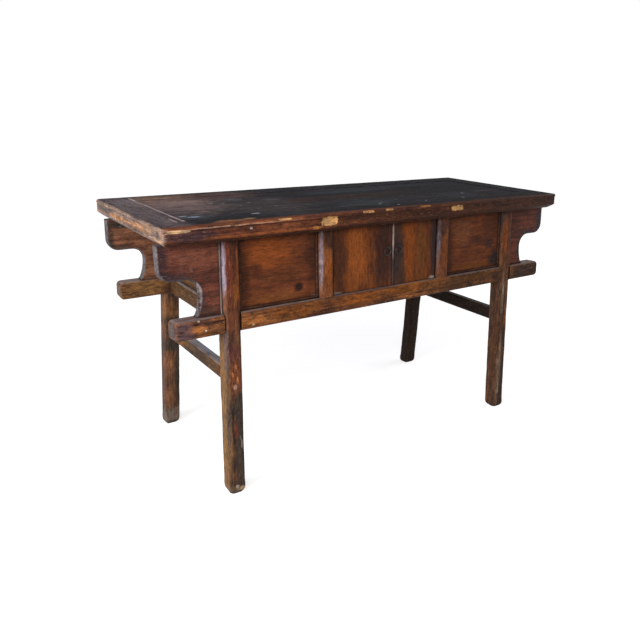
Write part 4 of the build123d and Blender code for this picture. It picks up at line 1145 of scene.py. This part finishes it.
# %% Where the nails are, and a point for each
nail_dome, nail_seed = 0.0030, 11
stub_nails = [(-0.662, -0.031), (-0.686, -0.014)]
board_nails = [(-0.6926, 0.142), (-0.6986, 0.122), (-0.6606, 0.038), (-0.757, 0.126)]
nail_points = [on_front(x, up) for x, up in stub_nails]
nail_points += [on_front(x, up, -spandrel_recess) for x, up in board_nails]

points_mesh = bpy.data.meshes.new("forged_nail_heads")
points_mesh.from_pydata(nail_points, [], [])
nails = bpy.data.objects.new("forged_nail_heads", points_mesh)
scene.collection.objects.link(nails)
print("nails:", len(nail_points))

# %% A head on each point
flattened = (1.0, 1.0, 0.42)
least_size, most_size = (0.85, 0.85, 0.8), (1.15, 1.15, 1.1)
full_turn = 6.28

tree = bpy.data.node_groups.new("nail_heads_on_points", "GeometryNodeTree")
inputs = {}
for name, kind in (("Geometry", "Geometry"), ("Head radius", "Float"), ("Seed", "Int")):
    inputs[name] = tree.interface.new_socket(name, in_out="INPUT", socket_type="NodeSocket" + kind)
tree.interface.new_socket("Geometry", in_out="OUTPUT", socket_type="NodeSocketGeometry")
entry = add(tree, "NodeGroupInput").outputs
dome = add(tree, "GeometryNodeMeshIcoSphere", {"Radius": entry["Head radius"], "Subdivisions": 3})
flat = add(tree, "GeometryNodeTransform", {"Geometry": dome, "Scale": flattened})
links = {2: 0.0, 3: full_turn, "Seed": entry["Seed"]}
turn = add(tree, "FunctionNodeRandomValue", links, data_type="FLOAT")
links = {0: least_size, 1: most_size, "Seed": entry["Seed"]}
size = add(tree, "FunctionNodeRandomValue", links, data_type="FLOAT_VECTOR")
facing = add(tree, "FunctionNodeAlignRotationToVector", {"Vector": front_out}, axis="Z")
links = {"Axis": (0.0, 0.0, 1.0), "Angle": turn.outputs[1]}
spin = add(tree, "FunctionNodeAxisAngleToRotation", links)
both = add(tree, "FunctionNodeRotateRotation", {0: facing, 1: spin}, rotation_space="LOCAL")
copies = add(tree, "GeometryNodeInstanceOnPoints", {
    "Points": entry["Geometry"], "Instance": flat, "Rotation": both, "Scale": size,
})
real = add(tree, "GeometryNodeRealizeInstances", {0: copies})
shaded = add(tree, "GeometryNodeSetShadeSmooth", {0: real})
finished = add(tree, "GeometryNodeSetMaterial", {"Geometry": shaded, "Material": iron})
add(tree, "NodeGroupOutput", {0: finished})
print("nodes for a nail head:", len(tree.nodes))

# %% Make the heads a plain mesh
modifier = nails.modifiers.new("nail_heads", "NODES")
modifier.node_group = tree
modifier[inputs["Head radius"].identifier] = nail_dome
modifier[inputs["Seed"].identifier] = nail_seed
plain = bpy.data.meshes.new_from_object(nails.evaluated_get(bpy.context.evaluated_depsgraph_get()))
nails.modifiers.clear()
nails.data = plain
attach(nails, "root")
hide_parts("spandrel_nails")
print(len(nail_points), "nail heads,", len(plain.polygons), "faces")

# %% [markdown]
# ## Ring pulls
# Each door has a thin iron ring that hangs in a split pin. The pin is one strip bent round into
# an eye, and its two legs go through the door and are clinched flat behind it. A smith bends
# such bars by eye, so they are not quite even, and a ring wears thin where it rubs in its eye. A
# bar that follows a circle is built here point by point, because a torus would be too perfect.

# %% A forged bar bent into a loop
def forged_loop(bm, centre, side, up, radius, half_bar, seed, rounds=56, facets=10):
    """Add a hand-bent ring of round bar in the plane of side and up."""
    normal = side.cross(up)
    hoops = []
    for i in range(rounds):
        a = 2 * pi * i / rounds
        out = cos(a) * side + sin(a) * up
        dented = 0.92 + 0.08 * noise.noise(Vector((seed, 3 * cos(a), 3 * sin(a))))
        rubbed_thin = 1.0 - 0.16 * max(0.0, sin(a)) ** 6
        bar = half_bar * dented * rubbed_thin
        middle = centre + out * radius
        hoop = []
        for j in range(facets):
            b = 2 * pi * (j + 0.5) / facets
            hoop.append(bm.verts.new(middle + bar * (cos(b) * out + sin(b) * normal)))
        hoops.append(hoop)
    for i in range(rounds):
        one, two = hoops[i], hoops[(i + 1) % rounds]
        for j in range(facets):
            k = (j + 1) % facets
            bm.faces.new((one[j], two[j], two[k], one[k]))


ring_radius, ring_half_bar = 0.013, 0.00172
eye_radius, eye_half_bar = 0.0048, 0.00148
print("rings", 2 * ring_radius, "m and eyes", 2 * eye_radius, "m across the middle of the bar")

# %% Rings and split pins
ring_middle_y, ring_middle_z = -0.251824, 0.706411
pin_up, eye_out, door_back = 0.134, -0.0025, -0.0282
# the shank, as distance out and half width, and a clinched leg, as distance from the middle,
# half width and half thickness
shank = [(-0.0064, 0.0015), (-0.012, 0.0013), (-0.020, 0.0012), (-0.0290, 0.0012)]
clinched = [(0.0, 0.0011, 0.0011), (0.004, 0.0011, 0.0009), (0.0069, 0.0006, 0.0005)]
square = ((-1, -1), (1, -1), (1, 1), (-1, 1))
sideways, plumb = Vector((1, 0, 0)), Vector((0, 0, 1))

for which, x in (("left", -0.004), ("right", 0.044)):
    bm = bmesh.new()
    middle = Vector((x, ring_middle_y, ring_middle_z))
    forged_loop(bm, middle, sideways, plumb, ring_radius, ring_half_bar, 2.0 + 9 * x)
    name, body, node = "forged_ring_" + which, "ring_" + which, "pull_ring_" + which
    finish_piece(name, bm, body, "iron", node, iron).shade_smooth()

    bm = bmesh.new()
    middle = on_front(x, pin_up, eye_out)
    forged_loop(bm, middle, front_out, front_up, eye_radius, eye_half_bar, 5.0 + 7 * x, rounds=32)
    join(bm, [
        [bm.verts.new(on_front(x + half * s, pin_up + half * t, out)) for s, t in square]
        for out, half in shank
    ])
    for turn in (-1, 1):
        rows = []
        for far, half, thick in clinched:
            up = pin_up + turn * far
            points = [on_front(x + half * s, up, door_back - (t + 1) * thick) for s, t in square]
            rows.append([bm.verts.new(point) for point in points])
        join(bm, rows)
    name, body, node = "split_pin_" + which, "door_" + which, "pull_pin_" + which
    finish_piece(name, bm, body, "iron", node, iron).shade_smooth()

# %% [markdown]
# ## Worn legs
# Stone floors, brooms and damp have rounded the feet, the left ones more than the right, and
# knees and chair backs have softened the arrises unevenly. A leg is one section, a rectangle
# whose two outer corners are rounder than the inner ones, repeated along the leg's own leaning
# line. Rings of points are used here rather than a bevelled block, because each ring can be cut
# as it needs to be: level at the floor and under the top, and square to the front at the rail.
# Where the bottom rail runs on behind the leg, the rings reach only half as deep, and that is
# the notch of the cross-lap. Near the floor a ring turns from a rectangle towards an oval. Both
# are superellipses, with a high power and with a power near 2, so one number does it.

# %% The leg's section and its line
leg_half_depth = 0.025
leg_axis = Vector((sin(leg_splay), 0, 0)) + front_up * cos(leg_splay)
leg_across = Vector((cos(leg_splay), 0, 0)) - front_up * sin(leg_splay)
leg_start = on_front(leg_middle_x, 0.0, -leg_half_depth)
notch_low, notch_high = -0.058, 0.0
outer_round, inner_round = 0.012, 0.005
foot_wear = {
    # side: height and depth of the worn rim, least power of the section, how high that reaches
    -1: (0.020, 0.0060, 2.1, 0.045),
    1: (0.010, 0.0035, 2.4, 0.030),
}

leg_section = []
for i, (sx, sy) in enumerate(((1, 1), (-1, 1), (-1, -1), (1, -1))):
    radius = outer_round if sy > 0 else inner_round
    corner = (sx * (leg_half_width - radius), sy * (leg_half_depth - radius))
    leg_section += arc(*corner, radius, range(90 * i, 90 * i + 91, 15))
print("points in the leg's section:", len(leg_section))

# %% Where the rings are: level ones by height, square ones by the distance up the front
level_low = [0.0, 0.0004, 0.0013, 0.0028, 0.0050, 0.0080, 0.0120, 0.0170, 0.0230, 0.0310]
square_low = [-0.545 + 0.0135 * i for i in range(36)] + [notch_low]
square_high = [notch_high, 0.004] + [0.016 * i for i in range(1, 13)]
rings_of_leg = (
    [("level", z, False) for z in level_low]
    + [("square", up, False) for up in square_low]
    + [("square", up, True) for up in (notch_low, (notch_low + notch_high) / 2, notch_high)]
    + [("square", up, False) for up in square_high]
    + [("level", top_low, False)]
)
print("rings in a leg:", len(rings_of_leg))

# %% A point of a worn leg
def leg_point(foot, kind, value, notched, across, depth):
    """A point of the front left leg, before it is mirrored to another corner."""
    base = leg_start + leg_across * across + front_out * depth
    if kind == "level":
        base += leg_axis * ((value - base.z) / leg_axis.z)
    else:
        base += leg_axis * ((value - leg_across.dot(front_up) * across) / leg_axis.dot(front_up))
    softened = 0.0007 * noise.noise(base * 16.0) + 0.0005 * noise.noise(base * 55.0)
    if abs(across) > 0.021 and abs(depth) > 0.018:  # an arris is knocked more than a face
        softened = 1.6 * softened + 0.0004
    inset = max(softened, 0.0)
    rim_high, rim_deep, least_power, reach = foot
    rounding = rim_high * (1.0 + 0.35 * noise.noise(base * 20.0 + Vector((3, 1, 2))))
    if base.z < rounding:
        inset += rim_deep * (1 - (1 - (1 - base.z / rounding) ** 2) ** 0.5)
    far = hypot(across, depth)
    power = least_power + 40.0 * min(1.0, base.z / reach) ** 2
    wide, deep = abs(across) / leg_half_width, abs(depth) / leg_half_depth
    on_oval = (wide ** power + deep ** power) ** (-1.0 / power)
    inset += far * (1.0 - on_oval) * max(0.0, 1.0 - base.z / reach)
    shift = leg_across * (-across / far * inset) + front_out * (-depth / far * inset)
    if notched and depth < 0.0:
        shift += front_out * -depth
    return base + Vector((shift.x, shift.y, 0.0 if kind == "level" else shift.z))


at_rail = leg_point(foot_wear[-1], "square", 0.0, False, leg_half_width, leg_half_depth)
print("its outer front arris passes the rail at", tuple(round(v, 3) for v in at_rail))

# %% Four legs from the one description
for (x_side, y_side), corner in corner_names.items():
    bm = bmesh.new()
    rows = []
    for kind, value, notched in rings_of_leg:
        row = []
        for across, depth in leg_section:
            p = leg_point(foot_wear[x_side], kind, value, notched, across, depth)
            row.append(bm.verts.new((p.x * -x_side, p.y * -y_side, p.z)))
        rows.append(row)
    join(bm, rows)
    bmesh.ops.dissolve_degenerate(bm, dist=1e-6, edges=bm.edges)
    mesh = finish_piece("worn_leg_" + corner, bm, "root", "frame_wood", "leg_" + corner, leg_elm)
    mesh.shade_smooth()
    mesh.set_sharp_from_angle(angle=radians(40))

# %% Finish
scene.view_settings.view_transform = "Standard"
